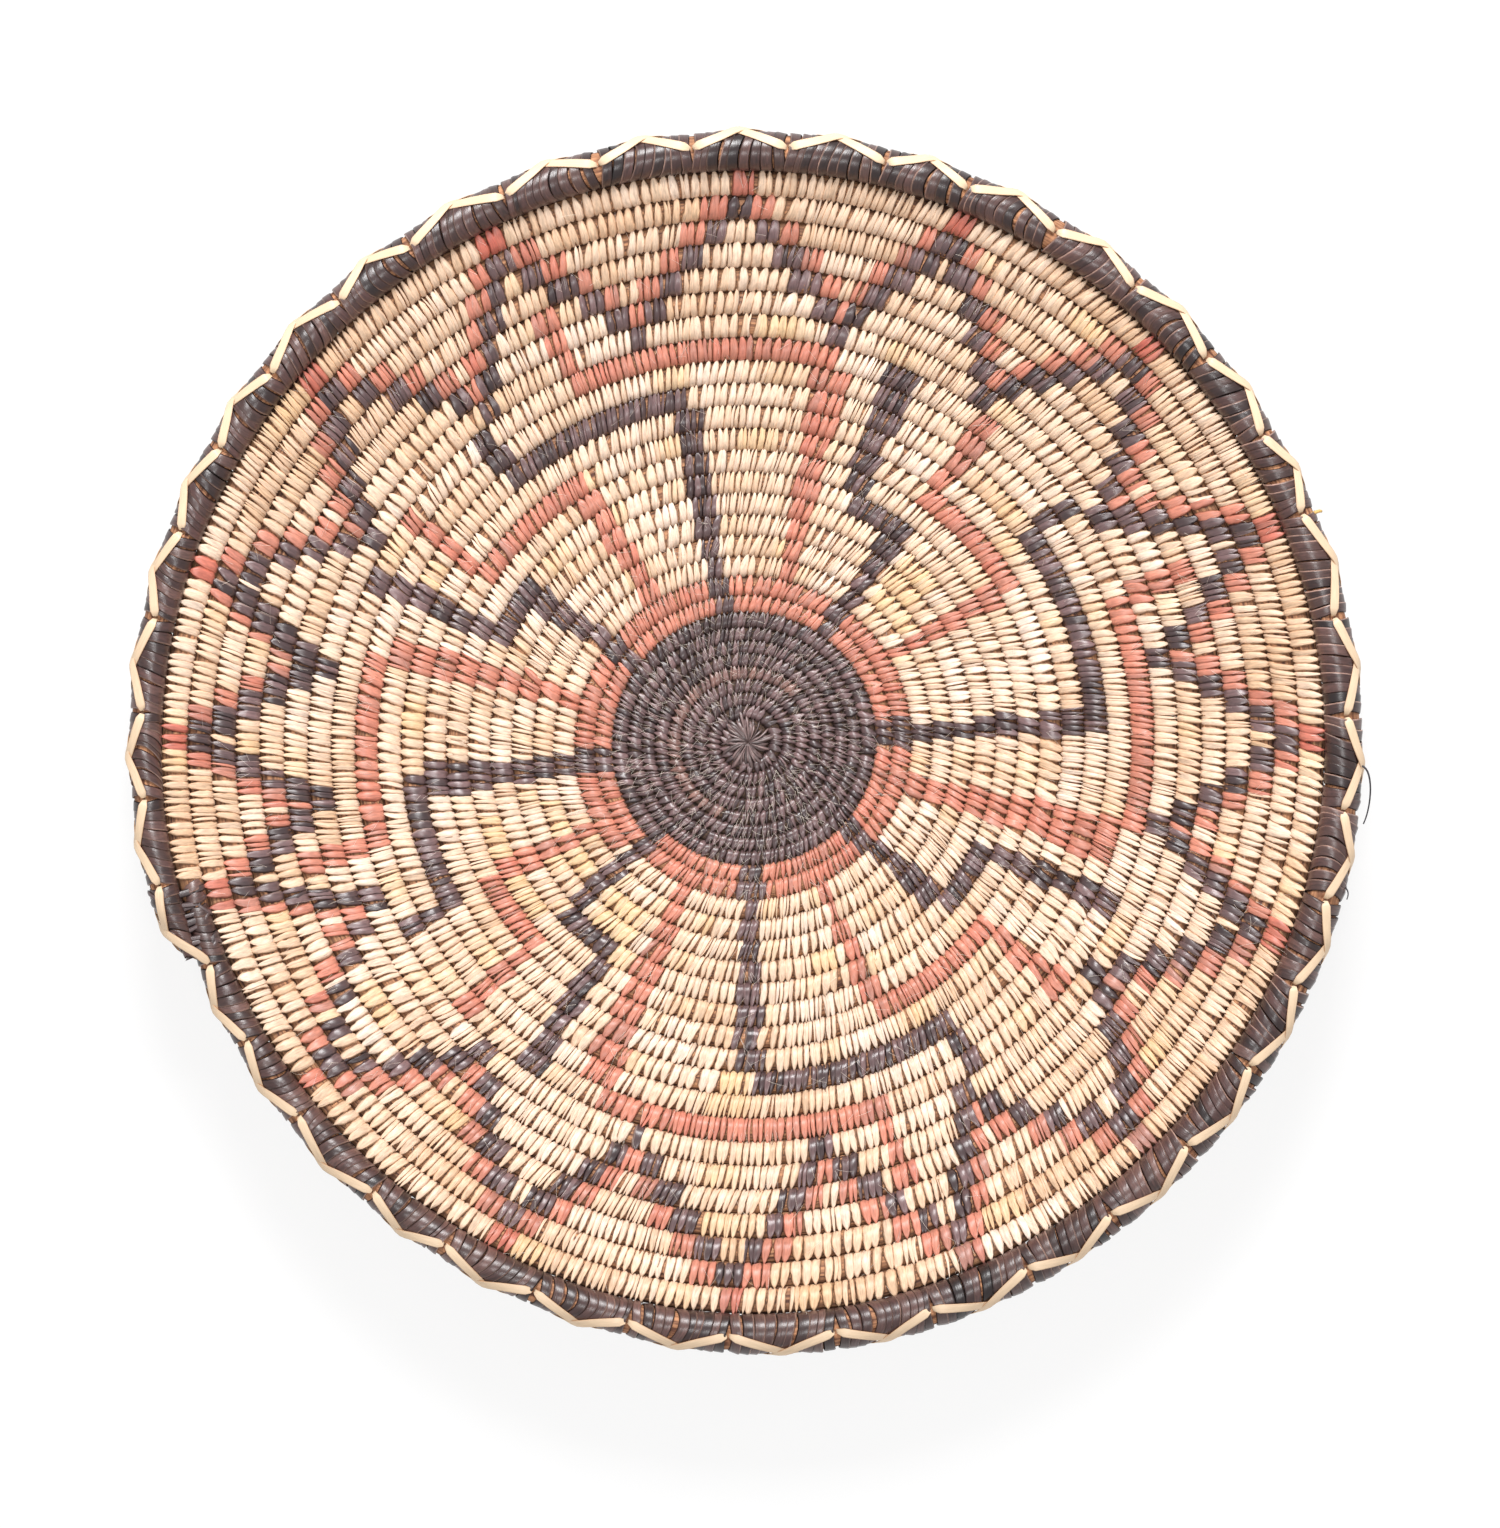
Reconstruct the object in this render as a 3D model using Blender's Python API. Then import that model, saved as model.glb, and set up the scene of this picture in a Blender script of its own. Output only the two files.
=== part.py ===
"""Shallow coiled basket of grass and palm strip.

One long grass coil winds out from a start knot into a dish, and then grows into
the thicker bundle of the rim. Dark strip binds the rim in groups, and two pale
strips are laced through the notches between the groups and cross on its edge.
Metres, +Z up, origin on the floor under the middle of the start knot.
"""

import math

import bmesh
import bpy
import numpy as np
from mathutils import Vector

# Coil of the dish: its thickness grows from the middle outwards
LOOPS = 24
LOOP_POINTS = 24
COIL_SIDES = 6
START_REACH = 0.0231
START_COIL = 0.0036
INNER_COIL = 0.0059
OUTER_COIL = 0.0078
COIL_GAP = 0.0005
THIN_LOOPS = 2.5
GROWN_LOOPS = 6.5
COIL_END_DEGREES = 196.0

# Dish: a flat base and a wall that bends up evenly, pulled slightly oval
BASE_RADIUS = 0.040
WALL_BEND = 0.268
OVAL_SHARE = 0.006

# Start knot
KNOT_CROWN = 0.0009
KNOT_EDGE_ROUND = 0.0008
KNOT_TOP_SHARE = 0.45

# Rim bundle, with its strip binding
RIM_SIDES = 6
RIM_RADIUS = 0.0051
TIP_RADIUS = 0.0019
GROWTH_DEGREES = 8.0
TAPER_DEGREES = (554.5, 561.5)
BINDING_WALL = 0.0008
BINDING_DRAW = 0.00035
FIRST_BINDING_DEGREES = 196.8
LAST_BINDING_DEGREES = 561.2
NOTCH_WIDTH = 0.0020
NOTCH_DEGREES = (
    202.4, 210.8, 219.8, 230.3, 239.0, 248.7, 258.2, 268.0, 278.3, 287.7, 297.7, 307.3, 317.2,
    327.0, 336.0, 344.8, 353.6, 362.8, 372.5, 383.0, 391.4, 400.6, 410.3, 419.5, 428.8, 437.0,
    446.4, 455.5, 464.5, 473.8, 484.0, 492.4, 501.9, 510.5, 519.2, 527.8, 536.9, 545.2, 553.6,
)

# Pale lacing strips, gathered narrow where they pass through the bundle
LACE_WIDTH = 0.0024
LACE_THICKNESS = 0.0006
LACE_THREADED_WIDTH = 0.0008
LACE_SHIFT = 0.0010
LACE_RISE = 0.0011

# Clearance between pieces that touch, and how far a cutter overruns what it cuts
SEAT_GAP = 0.0003
OVERRUN = 0.002

# Finishes: colour, roughness
GRASS = ("sewn_grass", (0.93, 0.82, 0.62), 0.55)
DARK_START = ("dark_palm", (0.27, 0.23, 0.24), 0.45)
TAN_BUNDLE = ("tan_bundle", (0.78, 0.57, 0.36), 0.65)
DARK_BINDING = ("dark_binding", (0.21, 0.17, 0.18), 0.35)
PALE_LACE = ("pale_lace", (0.92, 0.80, 0.60), 0.45)

UP = Vector((0, 0, 1))
FLAT_SHARE = math.cos(math.pi / RIM_SIDES)
SHARP_DEGREES = 35


def clear_scene():
    for obj in list(bpy.data.objects):
        bpy.data.objects.remove(obj, do_unlink=True)


def ramp(value, low, high):
    """0 up to low, then straight up to 1 at high."""
    return min(max((value - low) / (high - low), 0), 1)


def ramp_sum(value, low, high):
    """The area under ramp from 0 to value."""
    inside = min(max(value, low), high) - low
    return inside * inside / (2 * (high - low)) + max(value - high, 0)


def ease(share):
    return share * share * (3 - 2 * share)


def degrees_of(turns):
    return COIL_END_DEGREES + 360 * (turns - LOOPS)


def turns_at(degrees):
    """Turns along the rim, whose first point is where the dish's coil ends."""
    return LOOPS + (degrees - COIL_END_DEGREES) / 360


def strand_radius(turns):
    """Outer radius of the coil, or of the rim in its binding, so many turns from the start."""
    if turns <= LOOPS:
        grown = (INNER_COIL - START_COIL) * ramp(turns, THIN_LOOPS, GROWN_LOOPS)
        grown += (OUTER_COIL - INNER_COIL) * ramp(turns, GROWN_LOOPS, LOOPS)
        return (START_COIL + grown) / 2
    degrees = degrees_of(turns)
    growth = ease(ramp(degrees, COIL_END_DEGREES, COIL_END_DEGREES + GROWTH_DEGREES))
    taper = ease(ramp(degrees, *TAPER_DEGREES))
    full = OUTER_COIL / 2 + (RIM_RADIUS - OUTER_COIL / 2) * growth
    return full + (TIP_RADIUS - full) * taper


def strand_reach(turns):
    """Distance from the middle to the strand's centre line, measured along the dish."""
    if turns <= LOOPS:
        reach = START_REACH + turns * (START_COIL + COIL_GAP)
        reach += (INNER_COIL - START_COIL) * ramp_sum(turns, THIN_LOOPS, GROWN_LOOPS)
        return reach + (OUTER_COIL - INNER_COIL) * ramp_sum(turns, GROWN_LOOPS, LOOPS)
    inner = turns - 1
    return strand_reach(inner) + strand_radius(inner) + COIL_GAP + strand_radius(turns)


def on_dish(reach):
    """Radius, height and slope of the dish's wall at a reach from the middle."""
    slope = max(reach - BASE_RADIUS, 0) / WALL_BEND
    radius = min(reach, BASE_RADIUS) + WALL_BEND * math.sin(slope)
    return radius, WALL_BEND * (1 - math.cos(slope)), slope


def outward(degrees):
    turn = math.radians(degrees)
    return Vector((math.cos(turn), math.sin(turn), 0))


def strand_centre(turns):
    radius, height, _ = on_dish(strand_reach(turns))
    lift = strand_radius(min(turns, LOOPS)) * FLAT_SHARE
    out = outward(degrees_of(turns))
    stretched = Vector((out.x * (1 + OVAL_SHARE), out.y * (1 - OVAL_SHARE), 0))
    return stretched * radius + UP * (height + lift)


def polygon(centre, right, up, radius, sides):
    """A ring of points with two corners on the right axis, so its top and bottom are flat."""
    ring = []
    for side in range(sides):
        turn = 2 * math.pi * side / sides
        ring.append(centre + (right * math.cos(turn) + up * math.sin(turn)) * radius)
    return ring


def skin(mesh, rings):
    """Vertices of the rings, and the four-sided faces between each and the next."""
    rows = [[mesh.verts.new(point) for point in ring] for ring in rings]
    for first, second in zip(rows, rows[1:]):
        for side in range(len(first)):
            after = (side + 1) % len(first)
            mesh.faces.new((first[side], first[after], second[after], second[side]))
    return rows


def material(finish):
    name, colour, roughness = finish
    made = bpy.data.materials.get(name) or bpy.data.materials.new(name)
    made.use_nodes = True
    shader = made.node_tree.nodes["Principled BSDF"]
    shader.inputs["Base Color"].default_value = (*(part**2.2 for part in colour), 1)
    shader.inputs["Roughness"].default_value = roughness
    shader.inputs["Metallic"].default_value = 0
    return made


def add_object(name, mesh, finish):
    """The finished mesh as a named object, faces outwards and shaded smooth between its edges."""
    bmesh.ops.recalc_face_normals(mesh, faces=mesh.faces)
    data = bpy.data.meshes.new(name)
    mesh.to_mesh(data)
    mesh.free()
    data.materials.append(material(finish))
    data.shade_smooth()
    data.set_sharp_from_angle(angle=math.radians(SHARP_DEGREES))
    obj = bpy.data.objects.new(name, data)
    bpy.context.scene.collection.objects.link(obj)
    return obj


def add_tube(name, rings, finish):
    mesh = bmesh.new()
    rows = skin(mesh, rings)
    mesh.faces.new(rows[0])
    mesh.faces.new(rows[-1])
    return add_object(name, mesh, finish)


def coil_end_axes(point, neighbour):
    """Along and outward directions at an end, square to its last straight run."""
    along = (neighbour - point).normalized()
    return along, along.cross(UP).normalized()


def coil_ring(step, centres):
    turns = step / LOOP_POINTS
    slope = on_dish(strand_reach(turns))[2]
    out = outward(degrees_of(turns))
    if step == 0:
        out = coil_end_axes(centres[0], centres[1])[1]
    if step == len(centres) - 1:
        out = -coil_end_axes(centres[-1], centres[-2])[1]
    right = out * math.cos(slope) + UP * math.sin(slope)
    up = UP * math.cos(slope) - out * math.sin(slope)
    return polygon(centres[step], right, up, strand_radius(turns), COIL_SIDES)


def least_coil_gap(rings):
    """Least distance between points of loops that lie side by side."""
    points = np.array([[point[:] for point in ring] for ring in rings])
    least = math.inf
    for step in range(len(rings) - LOOP_POINTS):
        near = points[step + LOOP_POINTS - 1 : step + LOOP_POINTS + 2].reshape(-1, 3)
        gaps = np.linalg.norm(points[step][:, None] - near[None], axis=2)
        least = min(least, gaps.min())
    return least


def add_coil():
    centres = [strand_centre(step / LOOP_POINTS) for step in range(LOOPS * LOOP_POINTS + 1)]
    rings = [coil_ring(step, centres) for step in range(len(centres))]
    print(f"coil: least gap to itself {least_coil_gap(rings) * 1000:.2f} mm")
    return add_tube("coil", rings, GRASS)


def knot_outline():
    """The knot's edge follows the first loop's inner side and steps out where the coil starts."""
    first, second = strand_centre(0), strand_centre(1 / LOOP_POINTS)
    along, out = coil_end_axes(first, second)
    face = first - along * SEAT_GAP
    outline = [face - out * (strand_radius(0) + SEAT_GAP)]
    for step in range(1, LOOP_POINTS):
        turns = step / LOOP_POINTS
        inset = outward(degrees_of(turns)) * (strand_radius(turns) + SEAT_GAP)
        outline.append(strand_centre(turns) - inset)
    next_loop = (strand_centre(1) - first).length
    outline.append(face + out * (next_loop - strand_radius(1) - SEAT_GAP))
    return [Vector((point.x, point.y, 0)) for point in outline]


def add_start_knot():
    mesh = bmesh.new()
    outline = knot_outline()
    foot = mesh.faces.new([mesh.verts.new(point) for point in outline])
    edge = 2 * strand_radius(0) * FLAT_SHARE
    raised = bmesh.ops.extrude_face_region(mesh, geom=[foot])["geom"]
    top = next(part for part in raised if isinstance(part, bmesh.types.BMFace))
    bmesh.ops.translate(mesh, verts=top.verts, vec=UP * (edge - KNOT_EDGE_ROUND))
    bmesh.ops.inset_region(mesh, faces=[top], thickness=KNOT_EDGE_ROUND, depth=0)
    bmesh.ops.translate(mesh, verts=top.verts, vec=UP * KNOT_EDGE_ROUND)
    crown = bmesh.ops.extrude_face_region(mesh, geom=[top])["geom"]
    cap = next(part for part in crown if isinstance(part, bmesh.types.BMFace))
    bmesh.ops.delete(mesh, geom=[top], context="FACES_ONLY")
    for vert in cap.verts:
        vert.co.x *= KNOT_TOP_SHARE
        vert.co.y *= KNOT_TOP_SHARE
        vert.co.z += KNOT_CROWN
    bmesh.ops.remove_doubles(mesh, verts=mesh.verts, dist=OVERRUN / 1000)
    return add_object("start_knot", mesh, DARK_START)


def rim_axes(degrees):
    """Centre of the rim, and its outward and forward directions."""
    out = outward(degrees)
    return strand_centre(turns_at(degrees)), out, UP.cross(out)


def bundle_radius(degrees):
    """Radius of the grass inside the binding."""
    wrapped = (SEAT_GAP + BINDING_WALL) / FLAT_SHARE
    return strand_radius(turns_at(degrees)) - wrapped


def rim_ring(degrees, radius):
    centre, out, _ = rim_axes(degrees)
    return polygon(centre, out, UP, radius, RIM_SIDES)


def bundle_start_ring():
    """The bundle's first ring, square to the coil's end and set off from it."""
    end, before = strand_centre(LOOPS), strand_centre(LOOPS - 1 / LOOP_POINTS)
    back, inward = coil_end_axes(end, before)
    start = end - back * SEAT_GAP
    return polygon(start, -inward, UP, bundle_radius(COIL_END_DEGREES), RIM_SIDES)


def bundle_degrees():
    """Angles of the bundle's rings: each notch, and the middle of each stretch between."""
    corners = [*NOTCH_DEGREES, TAPER_DEGREES[1]]
    angles = [FIRST_BINDING_DEGREES]
    for notch, after in zip(corners, corners[1:]):
        angles += [notch, (notch + after) / 2]
    return [*angles, TAPER_DEGREES[1]]


def add_slot_cutter():
    """One box through the bundle at each notch, where the two strips pass."""
    mesh = bmesh.new()
    half_out = LACE_SHIFT + LACE_THREADED_WIDTH / 2 + SEAT_GAP
    half_along = LACE_THICKNESS / 2 + SEAT_GAP
    half_up = RIM_RADIUS + OVERRUN
    for notch in NOTCH_DEGREES:
        centre, out, along = rim_axes(notch)
        corners = []
        for height in (-half_up, half_up):
            for across, forward in ((-1, -1), (1, -1), (1, 1), (-1, 1)):
                place = centre + out * half_out * across + along * half_along * forward
                corners.append(mesh.verts.new(place + UP * height))
        mesh.faces.new(corners[:4])
        mesh.faces.new(corners[4:])
        for side in range(4):
            after = (side + 1) % 4
            mesh.faces.new((corners[side], corners[after], corners[after + 4], corners[side + 4]))
    cutter = add_object("slot_cutter", mesh, TAN_BUNDLE)
    cutter.hide_render = True
    cutter.display_type = "WIRE"
    return cutter


def add_rim_bundle():
    rings = [bundle_start_ring()]
    rings += [rim_ring(degrees, bundle_radius(degrees)) for degrees in bundle_degrees()]
    bundle = add_tube("rim_bundle", rings, TAN_BUNDLE)
    slots = bundle.modifiers.new("lacing_slots", "BOOLEAN")
    slots.operation = "DIFFERENCE"
    slots.object = add_slot_cutter()
    return bundle


def add_binding(name, start, end):
    """One group of dark wraps: a sleeve on the bundle, full in the middle and drawn in at its ends."""
    outer, inner = [], []
    for degrees, draw in ((start, BINDING_DRAW), ((start + end) / 2, 0), (end, BINDING_DRAW)):
        outer.append(rim_ring(degrees, strand_radius(turns_at(degrees)) - draw))
        inner.append(rim_ring(degrees, bundle_radius(degrees) + SEAT_GAP / FLAT_SHARE))
    mesh = bmesh.new()
    outside = skin(mesh, outer)
    inside = skin(mesh, inner)
    for rim_row, bore_row in ((outside[0], inside[0]), (outside[-1], inside[-1])):
        for side in range(RIM_SIDES):
            after = (side + 1) % RIM_SIDES
            mesh.faces.new((rim_row[side], rim_row[after], bore_row[after], bore_row[side]))
    return add_object(name, mesh, DARK_BINDING)


def add_bindings():
    edges = [FIRST_BINDING_DEGREES]
    for notch in NOTCH_DEGREES:
        radius = on_dish(strand_reach(turns_at(notch)))[0]
        half = math.degrees(NOTCH_WIDTH / 2 / radius)
        edges += [notch - half, notch + half]
    edges.append(LAST_BINDING_DEGREES)
    for number, start in enumerate(edges[::2]):
        add_binding(f"rim_binding_{number + 1:02d}", start, edges[2 * number + 1])


def lace_host(degrees):
    """Centre and radius of what the lacing goes round: the rim, and past its last notch its start too."""
    wound = turns_at(degrees)
    if degrees < NOTCH_DEGREES[-1]:
        return strand_centre(wound), strand_radius(wound)
    last = turns_at(NOTCH_DEGREES[-1])
    apart = strand_centre(last) - strand_centre(last - 1)
    both = (apart.length + strand_radius(last) + strand_radius(last - 1)) / 2
    lean = math.asin(apart.z / apart.length)
    towards = outward(degrees) * math.cos(lean) + UP * math.sin(lean)
    return strand_centre(wound - 1) + towards * (both - strand_radius(last - 1)), both


def lace_ring(centre, normal, across):
    """A flat section of strip, given the half thickness and half width as vectors."""
    return [centre + across + normal, centre - across + normal,
            centre - across - normal, centre + across - normal]


def lace_corner(degrees, turn, side, rise):
    """Section where the strip folds over one edge of the six-sided rim."""
    centre, radius = lace_host(degrees)
    out = outward(degrees)
    normal = out * math.cos(math.radians(turn)) + UP * math.sin(math.radians(turn))
    place = centre + normal * (radius + (SEAT_GAP + LACE_THICKNESS / 2 + rise) / FLAT_SHARE)
    across = UP.cross(out) * side * LACE_WIDTH
    return lace_ring(place, normal * (LACE_THICKNESS / 2 / FLAT_SHARE), across)


def lace_bend(notch, side, leaving):
    """Section where the strip turns between the notch and the face of the rim."""
    centre, out, along = rim_axes(notch)
    facing = side if leaving else -side
    height = strand_radius(turns_at(notch)) * FLAT_SHARE + SEAT_GAP + LACE_THICKNESS / 2
    place = centre + out * LACE_SHIFT * side + UP * height * facing
    normal = (UP * side - along) if leaving else (along - UP * side)
    return lace_ring(place, normal * (LACE_THICKNESS / 2), -out * side * (LACE_THREADED_WIDTH / 2))


def lace_threaded(notch, side, lift):
    """Section half way through the bundle."""
    centre, out, along = rim_axes(notch)
    place = centre + out * LACE_SHIFT * side + UP * lift * side
    across = -out * side * (LACE_THREADED_WIDTH / 2)
    return lace_ring(place, -along * (LACE_THICKNESS / 2), across)


def add_lacing(name, side, rise):
    """A strip that winds once round the rim in each scallop; side 1 leaves each notch on the front."""
    notches = [*NOTCH_DEGREES, NOTCH_DEGREES[0] + 360]
    rings = [lace_threaded(NOTCH_DEGREES[0], side, SEAT_GAP / 2)]
    for number, notch in enumerate(NOTCH_DEGREES):
        step = notches[number + 1] - notch
        after = NOTCH_DEGREES[(number + 1) % len(NOTCH_DEGREES)]
        rings.append(lace_bend(notch, side, True))
        rings.append(lace_corner(notch + step / 6, 60 * side, side, 0))
        rings.append(lace_corner(notch + step / 2, 0, side, rise))
        rings.append(lace_corner(notch + step * 5 / 6, -60 * side, side, 0))
        rings.append(lace_bend(after, side, False))
        last = number + 1 == len(NOTCH_DEGREES)
        rings.append(lace_threaded(after, side, -SEAT_GAP / 2 if last else 0))
    return add_tube(name, rings, PALE_LACE)


def main():
    clear_scene()
    add_start_knot()
    add_coil()
    add_rim_bundle()
    add_bindings()
    add_lacing("lacing_under", 1, 0)
    add_lacing("lacing_over", -1, LACE_RISE)


main()
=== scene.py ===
"""Shallow coiled basket: a grass coil sewn with palm strips, with a dark bound and pale laced rim.

Metres, +Z up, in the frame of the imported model. The basket lies on the floor with its inside up.
"""

import logging
import math
from dataclasses import dataclass
from enum import Enum

import bpy
import numpy as np
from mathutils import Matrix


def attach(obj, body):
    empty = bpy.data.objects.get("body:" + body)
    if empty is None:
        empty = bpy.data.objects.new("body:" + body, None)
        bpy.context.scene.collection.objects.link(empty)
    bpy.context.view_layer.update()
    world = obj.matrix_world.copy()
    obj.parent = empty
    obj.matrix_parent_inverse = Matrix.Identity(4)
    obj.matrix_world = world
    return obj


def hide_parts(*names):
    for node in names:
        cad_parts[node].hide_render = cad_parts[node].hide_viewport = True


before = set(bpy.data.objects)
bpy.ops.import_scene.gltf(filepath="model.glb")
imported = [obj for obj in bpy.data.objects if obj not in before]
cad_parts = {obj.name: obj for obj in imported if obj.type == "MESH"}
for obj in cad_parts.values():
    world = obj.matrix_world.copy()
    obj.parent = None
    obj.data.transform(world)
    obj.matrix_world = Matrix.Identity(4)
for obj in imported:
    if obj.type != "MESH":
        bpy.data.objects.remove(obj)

LOG = logging.getLogger("coiled_basket")
BODY = "root"
TAU = 2 * math.pi
MOST_STITCHES = 1100
SEED = 24
FLOOR_LIFT = 0.00003
TINT_LAYER = "palm_tint"
LIE_LAYER = "strip_lie"


class Palm(Enum):
    """Colours of the strips that the coil is sewn with."""

    NATURAL = "natural"
    RED = "red"
    DARK = "dark"


def ramp(value: np.ndarray, low: float, high: float) -> np.ndarray:
    """0 up to low, then straight up to 1 at high."""
    return np.clip((value - low) / (high - low), 0, 1)


def ramp_sum(value: np.ndarray, low: float, high: float) -> np.ndarray:
    """The area under ramp from 0 to value."""
    inside = np.clip(value, low, high) - low
    return inside**2 / (2 * (high - low)) + np.maximum(value - high, 0)


def ease(share: np.ndarray) -> np.ndarray:
    """A smooth step from 0 to 1."""
    return share * share * (3 - 2 * share)


def smooth_noise(places: np.ndarray, seed: int, waves: int = 5) -> np.ndarray:
    """A smooth random line, about -1 to 1.

    Args:
        places: where to read it, one unit being about one wave.
        seed: which line it is.
        waves: how many sine waves are summed.

    Returns:
        The line's value at each place.
    """
    draws = np.random.default_rng(seed)
    total = np.zeros_like(places, dtype=float)
    for _ in range(waves):
        total += np.sin(places * draws.uniform(2.5, 8.5) + draws.uniform(0, TAU))
    return total / math.sqrt(waves * 0.5) / 1.6


def signed(angle: np.ndarray) -> np.ndarray:
    """The same angle between -pi and pi."""
    return (angle + math.pi) % TAU - math.pi


def unit_length(ways: np.ndarray) -> np.ndarray:
    """The same directions, each of length 1."""
    return ways / np.linalg.norm(ways, axis=-1, keepdims=True)


def linear(colour: tuple) -> np.ndarray:
    """A colour as shown, on the scale that the shader reads."""
    return (np.asarray(colour, dtype=float) / 255) ** 2.2


def blend(colour: np.ndarray, other: tuple, share: np.ndarray) -> np.ndarray:
    """A linear colour, taken a share of the way to a colour given as shown."""
    return colour + (linear(other) - colour) * share


@dataclass(frozen=True)
class Dish:
    """The coil's path: a spiral on a flat base and an evenly bent wall, slightly oval."""

    loops: int = 24
    start_reach: float = 0.0231
    start_coil: float = 0.0036
    inner_coil: float = 0.0059
    outer_coil: float = 0.0078
    gap: float = 0.0005
    thin_loops: float = 2.5
    grown_loops: float = 6.5
    end_degrees: float = 196.0
    base_radius: float = 0.040
    wall_bend: float = 0.268
    oval: float = 0.006
    rim_radius: float = 0.0051
    tip_radius: float = 0.0019
    growth_degrees: float = 8.0
    taper: tuple = (554.5, 561.5)
    flat: float = math.cos(math.pi / 6)
    drift: tuple = (0.0004, -0.0009, 0.0)
    spread: float = 0.0004
    low_spread: float = 0.0024
    low_degrees: tuple = (272.0, 30.0)
    full_radius: float = 0.185
    swell_degrees: tuple = (0, 45, 90, 135, 165, 195, 225, 255, 285, 315, 345)
    swells: tuple = (0.09, 0.13, 0.20, 0.13, 0.04, -0.10, 0.03, 0.08, 0.16, 0.16, 0.12)

    def degrees(self, turns: np.ndarray) -> np.ndarray:
        """Path angle of a place on the spiral."""
        return self.end_degrees + 360 * (turns - self.loops)

    def turns(self, degrees: np.ndarray) -> np.ndarray:
        """Place on the spiral of a path angle; the rim has those past 196 degrees."""
        return self.loops + (np.asarray(degrees, dtype=float) - self.end_degrees) / 360

    def strand(self, turns: np.ndarray) -> np.ndarray:
        """Radius of the strand.

        Args:
            turns: places on the spiral.

        Returns:
            The radius at each place, which grows outwards, and again where the rim starts.
        """
        coil = self.start_coil
        coil = coil + (self.inner_coil - coil) * ramp(turns, self.thin_loops, self.grown_loops)
        coil = coil + (self.outer_coil - self.inner_coil) * ramp(turns, self.grown_loops, self.loops)
        degrees = self.degrees(turns)
        growth = ease(ramp(degrees, self.end_degrees, self.end_degrees + self.growth_degrees))
        rim = self.rim_radius * (1 + np.interp(degrees, self.swell_degrees, self.swells, period=360))
        full = coil / 2 + (rim - coil / 2) * growth
        return full + (self.tip_radius - full) * ease(ramp(degrees, *self.taper))

    def coil_reach(self, turns: np.ndarray) -> np.ndarray:
        """Distance of the sewn coil's centre line from the middle, along the dish.

        Args:
            turns: places on the spiral.

        Returns:
            The distance at each place.
        """
        reach = self.start_reach + turns * (self.start_coil + self.gap)
        grown = ramp_sum(turns, self.thin_loops, self.grown_loops)
        reach = reach + (self.inner_coil - self.start_coil) * grown
        grown = ramp_sum(turns, self.grown_loops, self.loops)
        return reach + (self.outer_coil - self.inner_coil) * grown

    def reach(self, turns: np.ndarray) -> np.ndarray:
        """Distance of the strand from the middle along the dish, for the coil and the rim.

        Args:
            turns: places on the spiral.

        Returns:
            The distance at each place.
        """
        inner = np.where(turns > self.loops, turns - 1, turns)
        beside = self.coil_reach(inner) + self.strand(inner) + self.gap + self.strand(turns)
        return np.where(turns > self.loops, beside, self.coil_reach(turns))

    def on_dish(self, reach: np.ndarray) -> tuple:
        """Radius, height and slope of the dish at a reach from the middle.

        Args:
            reach: distances from the middle, along the dish.

        Returns:
            The three, each for every distance.
        """
        slope = np.maximum(reach - self.base_radius, 0) / self.wall_bend
        radius = np.minimum(reach, self.base_radius) + self.wall_bend * np.sin(slope)
        return radius, self.wall_bend * (1 - np.cos(slope)), slope

    def outward(self, degrees: np.ndarray) -> np.ndarray:
        """Level directions away from the middle."""
        turn = np.radians(degrees)
        return np.stack([np.cos(turn), np.sin(turn), np.zeros_like(turn)], axis=-1)

    def centre(self, turns: np.ndarray) -> np.ndarray:
        """Centre line of the strand.

        Args:
            turns: places on the spiral.

        Returns:
            The points.
        """
        radius, height, _ = self.on_dish(self.reach(turns))
        lift = self.strand(np.minimum(turns, self.loops)) * self.flat
        degrees = self.degrees(turns)
        share = (radius / self.full_radius) ** 2
        beside = ((degrees - self.low_degrees[0] + 180) % 360 - 180) / self.low_degrees[1]
        radius = radius + share * (self.spread + self.low_spread * np.exp(-(beside**2)))
        out = self.outward(degrees) * radius[..., None] * np.array([1 + self.oval, 1 - self.oval, 0])
        out = out + share[..., None] * np.array(self.drift)
        out[..., 2] = height + lift
        return out

    def axes(self, turns: np.ndarray) -> tuple:
        """Directions out along the dish and up from it, at each place on the spiral.

        Args:
            turns: places on the spiral.

        Returns:
            The directions out, and those up.
        """
        slope = self.on_dish(self.reach(turns))[2][..., None]
        out = self.outward(self.degrees(turns))
        lift = np.zeros_like(out)
        lift[..., 2] = 1
        return out * np.cos(slope) + lift * np.sin(slope), lift * np.cos(slope) - out * np.sin(slope)

    def pitch(self, turns: np.ndarray) -> np.ndarray:
        """Distance from this turn of the coil to the next, along the dish."""
        return self.coil_reach(turns + 0.5) - self.coil_reach(turns - 0.5)


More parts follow.
